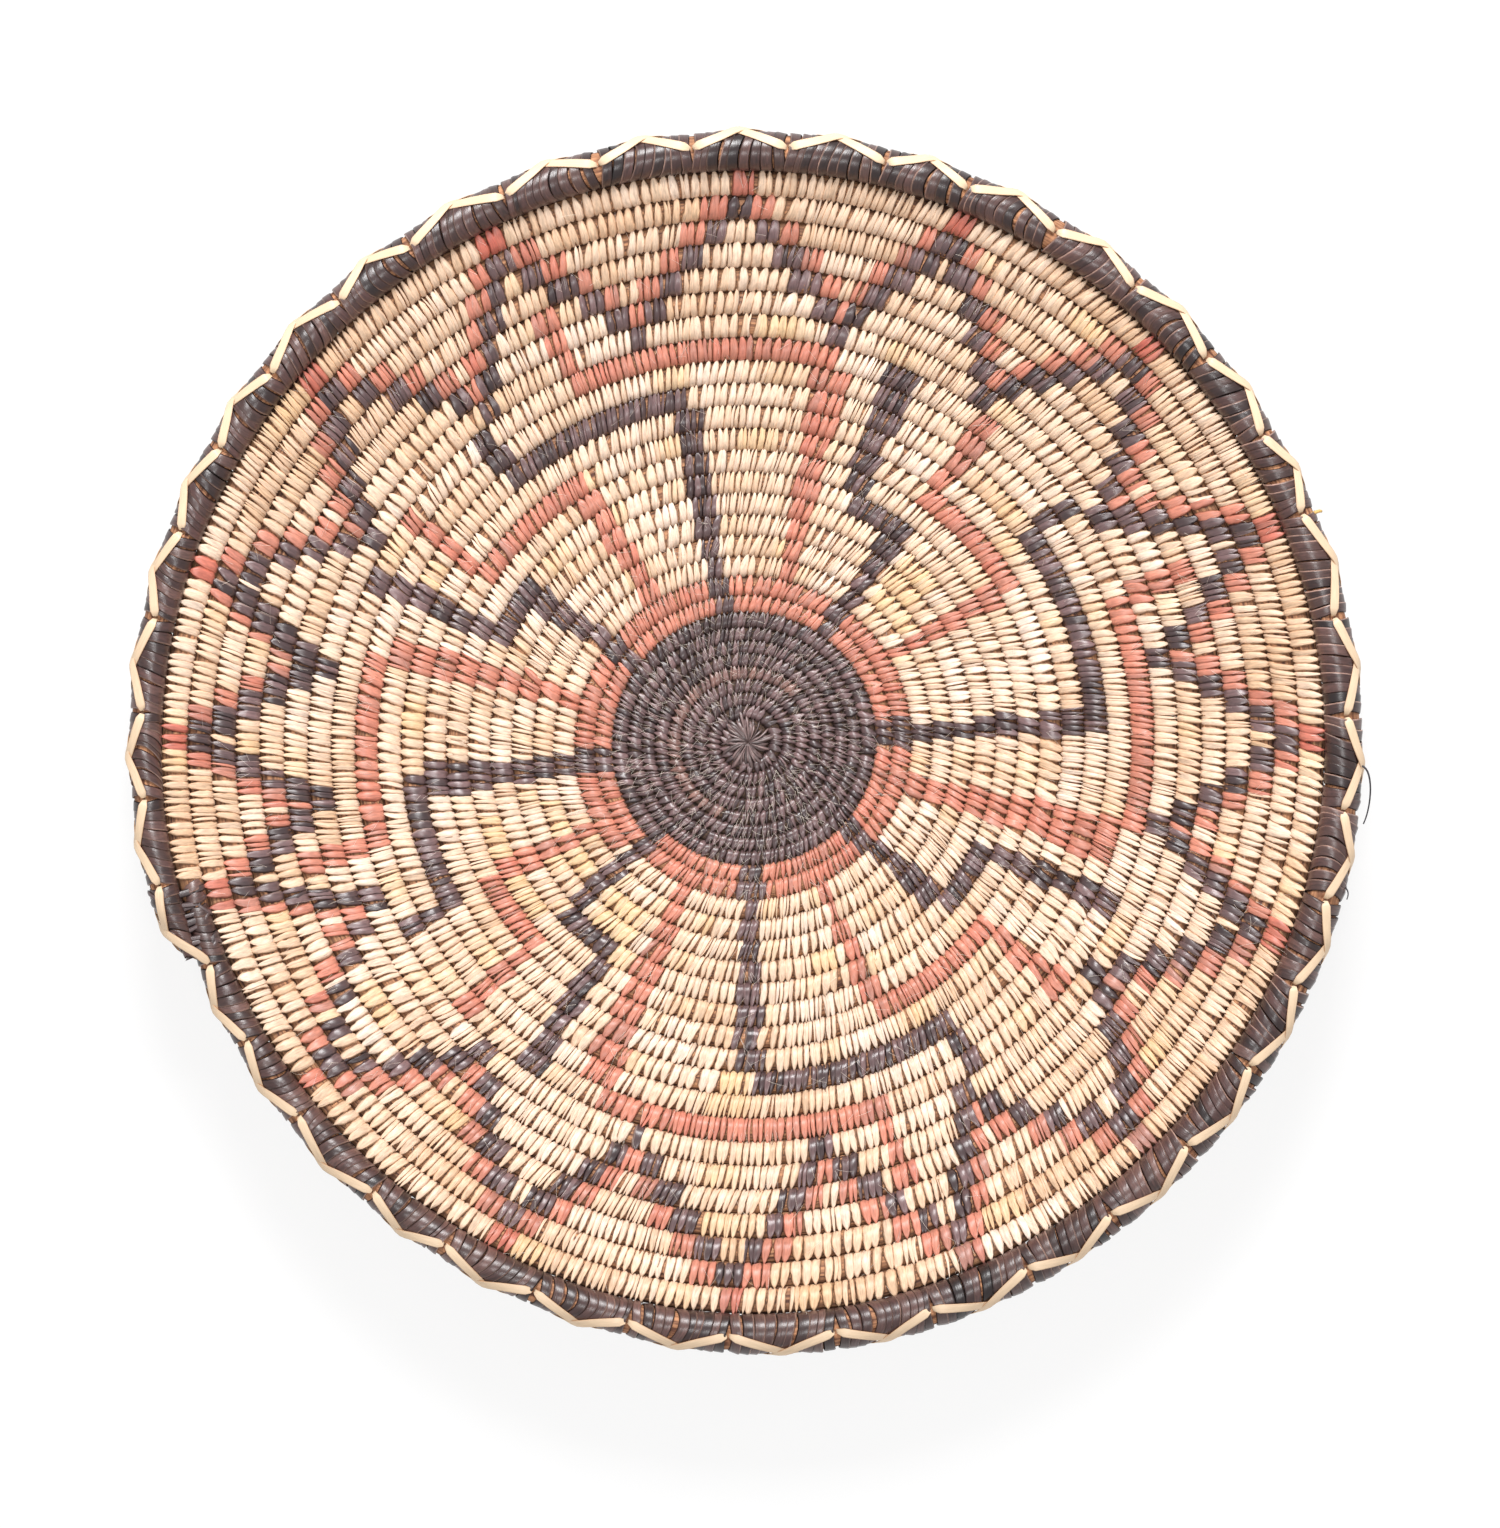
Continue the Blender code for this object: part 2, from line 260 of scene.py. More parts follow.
@dataclass(frozen=True)
class Nodes:
    """A node tree, with short ways to add to it."""

    tree: bpy.types.NodeTree

    def join(self, node: bpy.types.Node, inputs: dict) -> bpy.types.NodeOutputs:
        """Links or sets some inputs of a node.

        Args:
            node: the node.
            inputs: a socket or a plain value, by the input's name or number.

        Returns:
            The node's outputs.
        """
        for name, value in inputs.items():
            if isinstance(value, bpy.types.NodeSocket):
                self.tree.links.new(value, node.inputs[name])
            else:
                node.inputs[name].default_value = value
        return node.outputs

    def add(self, kind: str, inputs: dict | None = None, **settings: object) -> bpy.types.NodeOutputs:
        """Adds a node.

        Args:
            kind: the node's type.
            inputs: what to link or set, as for join.
            settings: its own properties.

        Returns:
            Its outputs.
        """
        node = self.tree.nodes.new(kind)
        for name, value in settings.items():
            setattr(node, name, value)
        return self.join(node, inputs or {})

    def two_tone(self, share: bpy.types.NodeSocket, ends: tuple, colours: tuple) -> bpy.types.NodeSocket:
        """Adds a ramp between two colours.

        Args:
            share: the socket that it follows.
            ends: where the two colours stand.
            colours: both, as the shader reads them.

        Returns:
            The colour's socket.
        """
        between = self.tree.nodes.new("ShaderNodeValToRGB")
        for element, place, colour in zip(between.color_ramp.elements, ends, colours):
            element.position, element.color = place, (*colour, 1)
        return self.join(between, {"Fac": share})["Color"]


@dataclass(frozen=True)
class Finish:
    """A procedural look."""

    name: str

    def material(self) -> bpy.types.Material:
        """The finish's material, made once."""
        return bpy.data.materials.get(self.name) or self.build()

    def build(self) -> bpy.types.Material:
        """Makes the material.

        Returns:
            The new material.
        """
        made = bpy.data.materials.new(self.name)
        made.use_nodes = True
        self.dress(Nodes(made.node_tree), made.node_tree.nodes["Principled BSDF"])
        return made

    def dress(self, nodes: Nodes, shader: bpy.types.Node) -> None:
        """Adds the look's nodes.

        Args:
            nodes: the material's nodes.
            shader: its shader.
        """
        raise NotImplementedError


@dataclass(frozen=True)
class PalmFinish(Finish):
    """Split palm leaf: fibre streaks along the strip, painted shade along its edges and a silky sheen."""

    roughness: float = 0.42
    streak_depth: float = 0.28
    edge_shade: float = 0.55
    bump: float = 0.35
    anisotropy: float = 0.75
    specular: float = 0.5
    streaks: float = 5.5
    light_share: float = 0.45
    edge_width: float = 0.3
    grain: float = 0.00025

    def dress(self, nodes: Nodes, shader: bpy.types.Node) -> None:
        """Adds the fibres, the painted edge shade and the sheen.

        Args:
            nodes: the material's nodes.
            shader: its shader.
        """
        tint = nodes.add("ShaderNodeAttribute", attribute_name=TINT_LAYER)
        lie = nodes.add("ShaderNodeUVMap", uv_map=LIE_LAYER)["UV"]
        stretch = nodes.add("ShaderNodeMapping", {"Vector": lie, "Scale": (self.streaks, 1.1, 1)})["Vector"]
        noise = {"Vector": stretch, "Scale": 1.0, "Detail": 3.0, "Roughness": 0.65}
        fibre = nodes.add("ShaderNodeTexNoise", noise)["Fac"]
        ends = {"From Min": 0.3, "From Max": 0.7, "To Min": 1 - self.streak_depth}
        ends["To Max"] = 1 + self.streak_depth * self.light_share
        streak = nodes.add("ShaderNodeMapRange", {"Value": fibre, **ends})["Result"]
        # Painted shade: the colour darkens towards each strip's edges, where it meets or slips under its neighbour.
        ends = {"From Max": self.edge_width, "To Min": self.edge_shade}
        edge = nodes.add("ShaderNodeMapRange", {"Value": tint["Alpha"], **ends})["Result"]
        shade = nodes.add("ShaderNodeMath", {0: streak, 1: edge}, operation="MULTIPLY")["Value"]
        colour = nodes.add("ShaderNodeVectorMath", {0: tint["Color"], "Scale": shade}, operation="SCALE")["Vector"]
        grain = nodes.add("ShaderNodeBump", {"Strength": self.bump, "Distance": self.grain, "Height": fibre})["Normal"]
        tangent = nodes.add("ShaderNodeTangent", direction_type="UV_MAP", uv_map=LIE_LAYER)["Tangent"]
        sheen = {"Roughness": self.roughness, "Anisotropic": self.anisotropy, "Specular IOR Level": self.specular}
        nodes.join(shader, {**sheen, "Base Color": colour, "Normal": grain, "Tangent": tangent})


@dataclass(frozen=True)
class StrandFinish(Finish):
    """Fine grass stems lying side by side along a bundle."""

    light: tuple
    deep: tuple
    roughness: float = 0.7
    stems: float = 26.0
    stem_ends: tuple = (0.36, 0.64)
    grain: float = 0.0005

    def dress(self, nodes: Nodes, shader: bpy.types.Node) -> None:
        """Adds the stems.

        Args:
            nodes: the material's nodes.
            shader: its shader.
        """
        lie = nodes.add("ShaderNodeUVMap", uv_map=LIE_LAYER)["UV"]
        stretch = nodes.add("ShaderNodeMapping", {"Vector": lie, "Scale": (self.stems, 0.9, 1)})["Vector"]
        stem = nodes.add("ShaderNodeTexNoise", {"Vector": stretch, "Scale": 1.0, "Detail": 4.0})["Fac"]
        colour = nodes.two_tone(stem, self.stem_ends, (linear(self.deep), linear(self.light)))
        tint = nodes.add("ShaderNodeAttribute", attribute_name=TINT_LAYER)["Color"]
        tinted = nodes.add("ShaderNodeVectorMath", {0: colour, 1: tint}, operation="MULTIPLY")["Vector"]
        grain = nodes.add("ShaderNodeBump", {"Strength": 0.8, "Distance": self.grain, "Height": stem})["Normal"]
        nodes.join(shader, {"Roughness": self.roughness, "Base Color": tinted, "Normal": grain})


@dataclass(frozen=True)
class HairFinish(Finish):
    """Thin loose fibres of one colour, a little darker and lighter from fibre to fibre."""

    colour: tuple
    roughness: float = 0.55
    noise_scale: float = 140
    shades: tuple = (0.7, 1.15)

    def dress(self, nodes: Nodes, shader: bpy.types.Node) -> None:
        """Adds the two shades.

        Args:
            nodes: the material's nodes.
            shader: its shader.
        """
        place = nodes.add("ShaderNodeTexCoord")["Object"]
        noise = nodes.add("ShaderNodeTexNoise", {"Vector": place, "Scale": self.noise_scale})["Fac"]
        colours = [np.clip(linear(self.colour) * shade, 0, 1) for shade in self.shades]
        shade = nodes.two_tone(noise, (0.35, 0.65), colours)
        nodes.join(shader, {"Roughness": self.roughness, "Base Color": shade})


@dataclass(frozen=True)
class PaperFinish(Finish):
    """Plain paper, almost white where the camera or a gloss sees it, that keeps a soft shadow."""

    grey: float = 0.93
    glow_share: float = 0.80

    def dress(self, nodes: Nodes, shader: bpy.types.Node) -> None:
        """Adds the glow.

        Args:
            nodes: the material's nodes.
            shader: its shader.
        """
        paper = {"Base Color": (self.grey, self.grey, self.grey, 1), "Roughness": 0.9, "Specular IOR Level": 0.1}
        lit = nodes.join(shader, paper)["BSDF"]
        rays = nodes.add("ShaderNodeLightPath")
        seen = {0: rays["Is Camera Ray"], 1: rays["Is Glossy Ray"]}
        seen = nodes.add("ShaderNodeMath", seen, operation="MAXIMUM")["Value"]
        share = nodes.add("ShaderNodeMath", {0: seen, 1: self.glow_share}, operation="MULTIPLY")["Value"]
        glow = nodes.add("ShaderNodeEmission", {"Strength": 1.0})["Emission"]
        mix = nodes.add("ShaderNodeMixShader", {"Fac": share, 1: lit, 2: glow})["Shader"]
        nodes.join(nodes.tree.nodes["Material Output"], {"Surface": mix})


# edge_shade sets how dark the painted shade along each strip's edges is.
PALM_FINISHES = {
    Palm.NATURAL: PalmFinish("natural_palm", streak_depth=0.36, edge_shade=0.68, bump=0.6, specular=0.45),
    Palm.RED: PalmFinish("red_palm", 0.40, streak_depth=0.34),
    Palm.DARK: PalmFinish("dark_palm_strip", 0.35, streak_depth=0.42, edge_shade=0.45, specular=0.85),
}
RIM_PALM = PalmFinish("rim_palm", 0.36, streak_depth=0.54, edge_shade=0.24, bump=0.5, anisotropy=0.5, specular=0.8)
LACE_PALM = PalmFinish("lace_palm", 0.45, streak_depth=0.12, edge_shade=0.8, bump=0.2, specular=0.4, streaks=7.0)
COIL_GRASS = StrandFinish("coil_grass", light=(200, 144, 104), deep=(84, 50, 38))
START_GRASS = StrandFinish("start_grass", light=(92, 64, 52), deep=(34, 22, 20))
RIM_GRASS = StrandFinish("rim_grass", light=(192, 136, 98), deep=(88, 50, 32))
FRAYED_HAIR = HairFinish("frayed_hair", (248, 228, 214))
DARK_FIBRE = HairFinish("dark_fibre", (48, 44, 50), 0.4)
BROKEN_STEM = HairFinish("broken_stem", (196, 160, 96), 0.6)


def new_piece(name: str, points: np.ndarray, faces: np.ndarray, slot: str, finish: Finish) -> bpy.types.Object:
    """Adds a mesh object with one finish, shaded smooth.

    Args:
        name: the piece's name.
        points: its vertices.
        faces: four vertex numbers for each face.
        slot: the record's material slot; not used.
        finish: its finish.

    Returns:
        The object, riding on the basket's body.
    """
    mesh = bpy.data.meshes.new(name)
    mesh.vertices.add(len(points))
    mesh.vertices.foreach_set("co", np.asarray(points, np.float32).ravel())
    mesh.loops.add(faces.size)
    mesh.loops.foreach_set("vertex_index", np.asarray(faces, np.int32).ravel())
    mesh.polygons.add(len(faces))
    mesh.polygons.foreach_set("loop_start", np.arange(0, faces.size, faces.shape[1], dtype=np.int32))
    mesh.update(calc_edges=True)
    mesh.validate()
    mesh.shade_smooth()
    piece = bpy.data.objects.new(name, mesh)
    bpy.context.scene.collection.objects.link(piece)
    piece.data.materials.append(finish.material())
    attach(piece, BODY)
    return piece


def paint(piece: bpy.types.Object, grid: tuple, tint: object, edge: object, across: object, along: object) -> None:
    """Stores a colour and a lie on each vertex, from values that are spread over a grid of them.

    Args:
        piece: the object to paint.
        grid: how many strips or rings there are, and vertices in each.
        tint: red, green and blue.
        edge: 0 at a strip's edge, 1 in its middle; the palm finish paints shade where it is low.
        across: place across the strip, shifted at random from strip to strip.
        along: place along the strip.
    """
    colour = np.empty((*grid, 4), np.float32)
    colour[..., :3], colour[..., 3] = tint, edge
    lie = np.empty((*grid, 2), np.float32)
    lie[..., 0], lie[..., 1] = across, along
    mesh = piece.data
    mesh.color_attributes.new(TINT_LAYER, "FLOAT_COLOR", "POINT").data.foreach_set("color", colour.ravel())
    corners = np.empty(len(mesh.loops), np.int32)
    mesh.loops.foreach_get("vertex_index", corners)
    mesh.uv_layers.new(name=LIE_LAYER).data.foreach_set("uv", lie.reshape(-1, 2)[corners].ravel())


def copied_faces(faces: np.ndarray, count: int, points_each: int) -> np.ndarray:
    """Faces of so many copies of a unit."""
    return (faces + np.arange(count)[:, None, None] * points_each).reshape(-1, faces.shape[1])


def tube_faces(count: int, sides: int) -> np.ndarray:
    """Faces between so many rings, each of so many points.

    Args:
        count: how many rings.
        sides: points in each ring.

    Returns:
        Four vertex numbers for each face.
    """
    ring, side = np.arange(count - 1)[:, None] * sides, np.arange(sides)
    after = (side + 1) % sides
    return np.stack([ring + side, ring + after, ring + sides + after, ring + sides + side], axis=-1).reshape(-1, 4)


def new_tube(name: str, rings: np.ndarray, slot: str, finish: Finish) -> bpy.types.Object:
    """Adds a tube with flat ends.

    Args:
        name: the piece's name.
        rings: its points by ring and side, with an even number of sides.
        slot: the record's material slot.
        finish: its finish.

    Returns:
        The object, riding on the basket's body.
    """
    count, sides = rings.shape[:2]
    last = (count - 1) * sides
    ends = []
    for step in range(1, sides - 1, 2):
        ends.append((0, step + 2, step + 1, step))
        ends.append((last, last + step, last + step + 1, last + step + 2))
    return new_piece(name, rings.reshape(-1, 3), np.concatenate([tube_faces(count, sides), ends]), slot, finish)


@dataclass(frozen=True)
class Strip:
    """A strip's closed loop round its bundle: what each vertex is, and the faces.

    Each vertex has a step number, a share of the way round, a place across the strip (-1 to 1) and a
    share of its crown.
    """

    step: np.ndarray
    round: np.ndarray
    across: np.ndarray
    crown: np.ndarray
    faces: np.ndarray

    def section(self) -> np.ndarray:
        """Angles round the bundle from straight out, between -pi and pi."""
        return signed(self.round * TAU)

    def profile(self, *rows: tuple) -> list:
        """Values given for each step, as values for each vertex."""
        return [np.array(row)[self.step] for row in rows]

    def copies(
        self,
        name: str,
        points: np.ndarray,
        slot: str,
        finish: Finish,
        tint: np.ndarray,
        along: np.ndarray,
        shift: np.ndarray,
        pale: object = 0,
    ) -> bpy.types.Object:
        """Makes a piece of bent copies of the strip.

        Args:
            name: the piece's name.
            points: the vertices of each copy.
            slot: the record's material slot.
            finish: its finish.
            tint: red, green and blue.
            along: place of each vertex along the strip's fibres.
            shift: a random shift of each copy's fibres.
            pale: least edge weight, where an edge is frayed or pale.

        Returns:
            The painted object.
        """
        grid = points.shape[:2]
        piece = new_piece(name, points.reshape(-1, 3), copied_faces(self.faces, *grid), slot, finish)
        paint(piece, grid, tint, np.maximum(1 - np.abs(self.across), pale), self.across * 0.5 + shift, along + shift)
        return piece


@dataclass(frozen=True)
class StripUnit:
    """What a strip's loop is modelled from, once for all its copies."""

    steps: int = 15
    outline: tuple = ((-1, 0.0), (-0.56, 0.86), (0, 1.0), (0.56, 0.86), (1, 0.0), (0, -0.6))

    def model(self) -> Strip:
        """Models the loop as a flattened ring.

        Returns:
            The loop.
        """
        sides = len(self.outline)
        bpy.ops.object.select_all(action="DESELECT")
        bpy.ops.mesh.primitive_torus_add(
            major_segments=self.steps, minor_segments=sides, major_radius=1, minor_radius=0.1
        )
        ring = bpy.context.object
        bpy.ops.object.mode_set(mode="EDIT")
        bpy.ops.mesh.select_all(action="SELECT")
        bpy.ops.mesh.normals_make_consistent(inside=False)
        bpy.ops.object.mode_set(mode="OBJECT")
        x, y, z = np.array([vert.co[:] for vert in ring.data.vertices]).T
        faces = np.array([face.vertices[:] for face in ring.data.polygons])
        bpy.data.objects.remove(ring, do_unlink=True)
        step = np.rint(np.arctan2(y, x) / TAU * self.steps).astype(int) % self.steps
        corner = np.rint(np.arctan2(z, np.hypot(x, y) - 1) / TAU * sides).astype(int)
        across, crown = np.array(self.outline, float)[(corner + (sides - 1) // 2) % sides].T
        return Strip(step, step / self.steps, across, crown, faces)


@dataclass(frozen=True)
class Pattern:
    """The sewn pattern: four-part stepped figures inside a zigzag of paired blocks.

    Rows are counted from the outside, and each starts at the angle where the coil ends.
    """

    dish: Dish
    zigzag_width: float = 2.85
    valley_width: float = 2.9
    peak_width: float = 2.6
    zigzag_steps: int = 5
    valleys: tuple = (
        202.9, 229.9, 254.3, 280.0, 301.0, 326.6, 348.4, 371.8, 392.8, 416.0, 437.7,
        465.0, 487.4, 511.1, 529.5, 547.7,
    )
    peaks: tuple = (
        217.5, 243.4, 268.2, 293.0, 314.7, 339.6, 360.7, 383.2, 405.0, 428.4, 451.0,
        476.9, 499.7, 522.3, 539.2, 555.99,
    )
    ring: tuple = (17.933, 19.911)
    ring_breaks: tuple = (
        (-1, 10), (51.4, 59.2), (96.3, 103.5), (139.8, 149.2), (183, 191), (221, 228), (266, 276), (315, 323),
    )
    dark_blocks: tuple = (
        (11, 18, 1, 6), (11, 18, 98, 103), (11, 18, 267.5, 273), (12, 18, 184, 190),
        (10, 10, 1.9, 37.8), (10, 10, 99.5, 131.7), (10, 10, 270.7, 305.8), (11, 11, 186, 196), (10, 10, 196, 209.8),
        (8, 9, 35.5, 38.4), (8, 9, 129, 132.3), (8, 9, 207.3, 210.3), (8, 9, 303.3, 306.2),
        (15, 18, 52, 57.5), (15, 18, 142, 148), (15, 18, 221, 226.5), (15, 18, 317, 323.3),
        (14, 14, 52.2, 67.9), (14, 14, 142.8, 157.8), (14, 14, 222.5, 237.3), (14, 14, 319.8, 336.5),
        (8, 13, 65, 70), (8, 13, 154, 158), (8, 13, 234.3, 238), (8, 13, 334, 337.7),
    )
    red_blocks: tuple = (
        (13, 18, 29, 34), (13, 18, 120, 126), (13, 17, 206, 210.5), (13, 18, 294, 298),
        (12, 12, 31, 56.1), (12, 12, 121.7, 147.2), (12, 12, 207.5, 224.2), (12, 12, 294.6, 322.6),
        (8, 11, 52, 55), (8, 11, 145, 148), (8, 11, 221.8, 224.7), (8, 11, 320.3, 323.4),
        (9, 18, 74.5, 80), (10, 18, 163, 168), (9, 18, 243.5, 249), (9, 18, 341.5, 348.3),
        (8, 8, 77.2, 116.4), (8, 8, 246.7, 291.2), (8, 8, 346.5, 382.3), (9, 9, 166.7, 196),
        (5, 7, 114, 117), (5, 7, 288.4, 291), (5, 7, 380.4, 383.4), (6, 8, 194, 196), (5, 7, 196, 197),
    )
    faded_blocks: tuple = ((1, 1, 292, 294), (1, 1, 313, 317), (4, 4, 331, 333), (4, 4, 343, 345))
    golden_blocks: tuple = (
        (13, 13, 196, 220), (16, 16, 196, 220), (15, 16, 227, 240), (10, 10, 265, 270), (15, 16, 40, 50),
        (14, 14, 150, 153), (17, 17, 36, 50), (14, 14, 236, 242), (3, 3, 214, 216), (15, 15, 286, 292),
    )

    def inward(self, row: float, degrees: float) -> float:
        """Turns inwards from the coil's end of a row at an angle."""
        start = self.dish.end_degrees
        return row - 1 + (start + 360 - (start + (degrees - start) % 360)) / 360

    def spans(self, blocks: tuple) -> list:
        """Stretches of the coil that the blocks cover.

        Args:
            blocks: first row, last row, first and last angle of each.

        Returns:
            Lowest and highest turn inwards of each stretch.
        """
        found = []
        for first, last, start, end in blocks:
            for row in range(first, last + 1):
                high = self.inward(row, start)
                found.append((high - (end - start) / 360, high))
        return found

    def zigzag(self) -> tuple:
        """Stretches of the dark and of the red blocks in the outer zigzag.

        Returns:
            Lowest and highest turn inwards of each stretch, in two lists.
        """
        dark, red = [], []
        legs = [(valley, peak, self.zigzag_steps) for valley, peak in zip(self.valleys, self.peaks)]
        legs += [(valley, peak, self.zigzag_steps) for valley, peak in zip(self.valleys[1:], self.peaks)]
        legs[len(self.valleys) - 1] = (self.valleys[-1], self.peaks[-1], self.zigzag_steps - 1)
        legs.append((self.valleys[0], self.dish.end_degrees, self.zigzag_steps))
        for valley, peak, steps in legs:
            for step in range(steps + 1):
                middle = valley + (peak - valley) * step / steps
                dark_half = (self.valley_width if step == 0 else self.zigzag_width) / 2
                red_half = (self.peak_width if step == steps else self.zigzag_width) / 2
                at_dark = self.inward(7 - step, middle)
                at_red = self.inward(6 - step, middle)
                dark.append((at_dark - dark_half / 360, at_dark + dark_half / 360))
                red.append((at_red - red_half / 360, at_red + red_half / 360))
        return dark, red

    def inside(self, inward: np.ndarray, spans: list) -> np.ndarray:
        """Which places lie in one of the stretches.

        Args:
            inward: turns inwards of the places.
            spans: the stretches, as spans returns them.

        Returns:
            True for those that do.
        """
        found = np.zeros(inward.shape, bool)
        for low, high in spans:
            found |= (inward >= low) & (inward < high)
        return found

    def colours(self, inward: np.ndarray) -> np.ndarray:
        """The palm of each stitch.

        Args:
            inward: turns inwards from the coil's end of each stitch.

        Returns:
            A member of Palm for each stitch.
        """
        zigzag_dark, zigzag_red = self.zigzag()
        palm = np.full(inward.shape, Palm.NATURAL, dtype=object)
        palm[self.inside(inward, zigzag_red)] = Palm.RED
        palm[self.inside(inward, zigzag_dark)] = Palm.DARK
        palm[self.inside(inward, self.spans(self.red_blocks))] = Palm.RED
        ring = (inward >= self.ring[0]) & (inward < self.ring[1])
        palm[ring] = Palm.RED
        degrees = self.dish.end_degrees - inward * 360
        for start, end in self.ring_breaks:
            palm[ring & ((degrees - start) % 360 < end - start)] = Palm.DARK
        palm[self.inside(inward, self.spans(self.dark_blocks))] = Palm.DARK
        palm[inward >= self.ring[1]] = Palm.DARK
        return palm


@dataclass(frozen=True)
class StitchShape:
    """The path of one stitch round its row, as shares of the row's half pitch and half thickness."""

    out: tuple = (-1.08, -0.95, -0.72, -0.40, -0.05, 0.32, 0.66, 0.98, 1.27, 1.02, 0.72, 0.30, -0.25, -0.75, -1.04)
    up: tuple = (0.10, 0.46, 0.78, 0.97, 1.03, 1.00, 0.92, 0.80, 0.68, -0.25, -0.72, -0.90, -0.90, -0.66, -0.15)
    wide: tuple = (0.60, 0.88, 1.02, 1.06, 1.04, 0.99, 0.89, 0.67, 0.18, 0.24, 0.66, 0.94, 0.94, 0.66, 0.30)
    crown: tuple = (0.5, 0.9, 1.0, 1.0, 1.0, 0.95, 0.85, 0.7, 0.5, 0.3, 0.6, 0.9, 0.9, 0.6, 0.3)
    lean: tuple = (0.0, 0.04, 0.15, 0.29, 0.44, 0.59, 0.74, 0.88, 1.02, 1.0, 0.85, 0.62, 0.38, 0.12, 0.0)
    crown_height: float = 0.00057
    crown_base: float = 0.62
    half_width: float = 0.53
    taper: float = 1.1
    tip_from: float = 0.9
    crease: float = -0.25
    ragged: float = 0.075


@dataclass(frozen=True)
class StitchSpread:
    """How much stitches differ from one another, and what is different near the middle."""

    lean: float = 0.18
    tip: float = 0.08
    start: float = 0.05
    width: float = 0.07
    taper: float = 0.25
    length: float = 0.05
    crease: float = 0.45
    ridge: float = 0.3
    bow: float = 0.09
    tilt: float = 0.00013
    inmost_reach: tuple = (0.030, 0.075)
    inmost_width: float = -0.02
    inmost_taper: float = 1.3
    inmost_length: float = 0.08


@dataclass(frozen=True)
class DyeSpread:
    """How far the strips' colours differ along the coil and from strip to strip, as shares."""

    drift_waves: float = 9.0
    drift: float = 0.45
    inmost_tan: float = 0.8
    tan: float = 0.7
    warm_waves: tuple = (23.0, 3.1)
    warm_sizes: tuple = (0.6, 0.5)
    warm_from: float = 0.35
    golden_most: float = 0.6
    golden_block: float = 0.75
    golden: tuple = (0.6, 1.1)
    red_drift: float = 0.16
    bright_rows: float = 1.4
    bright: float = 0.14
    worn_waves: float = 31.0
    worn_size: float = 0.28
    worn: tuple = (-0.05, 0.22)
    worn_most: float = 0.85
    worn_block: float = 0.9
    dark: tuple = (-0.3, 1.1)
    brown: tuple = (0.3, 1.0)
    brown_shade: float = 0.7
    frayed: tuple = (0.05, 0.55)
    frayed_most: float = 0.9
    shade: float = 0.035


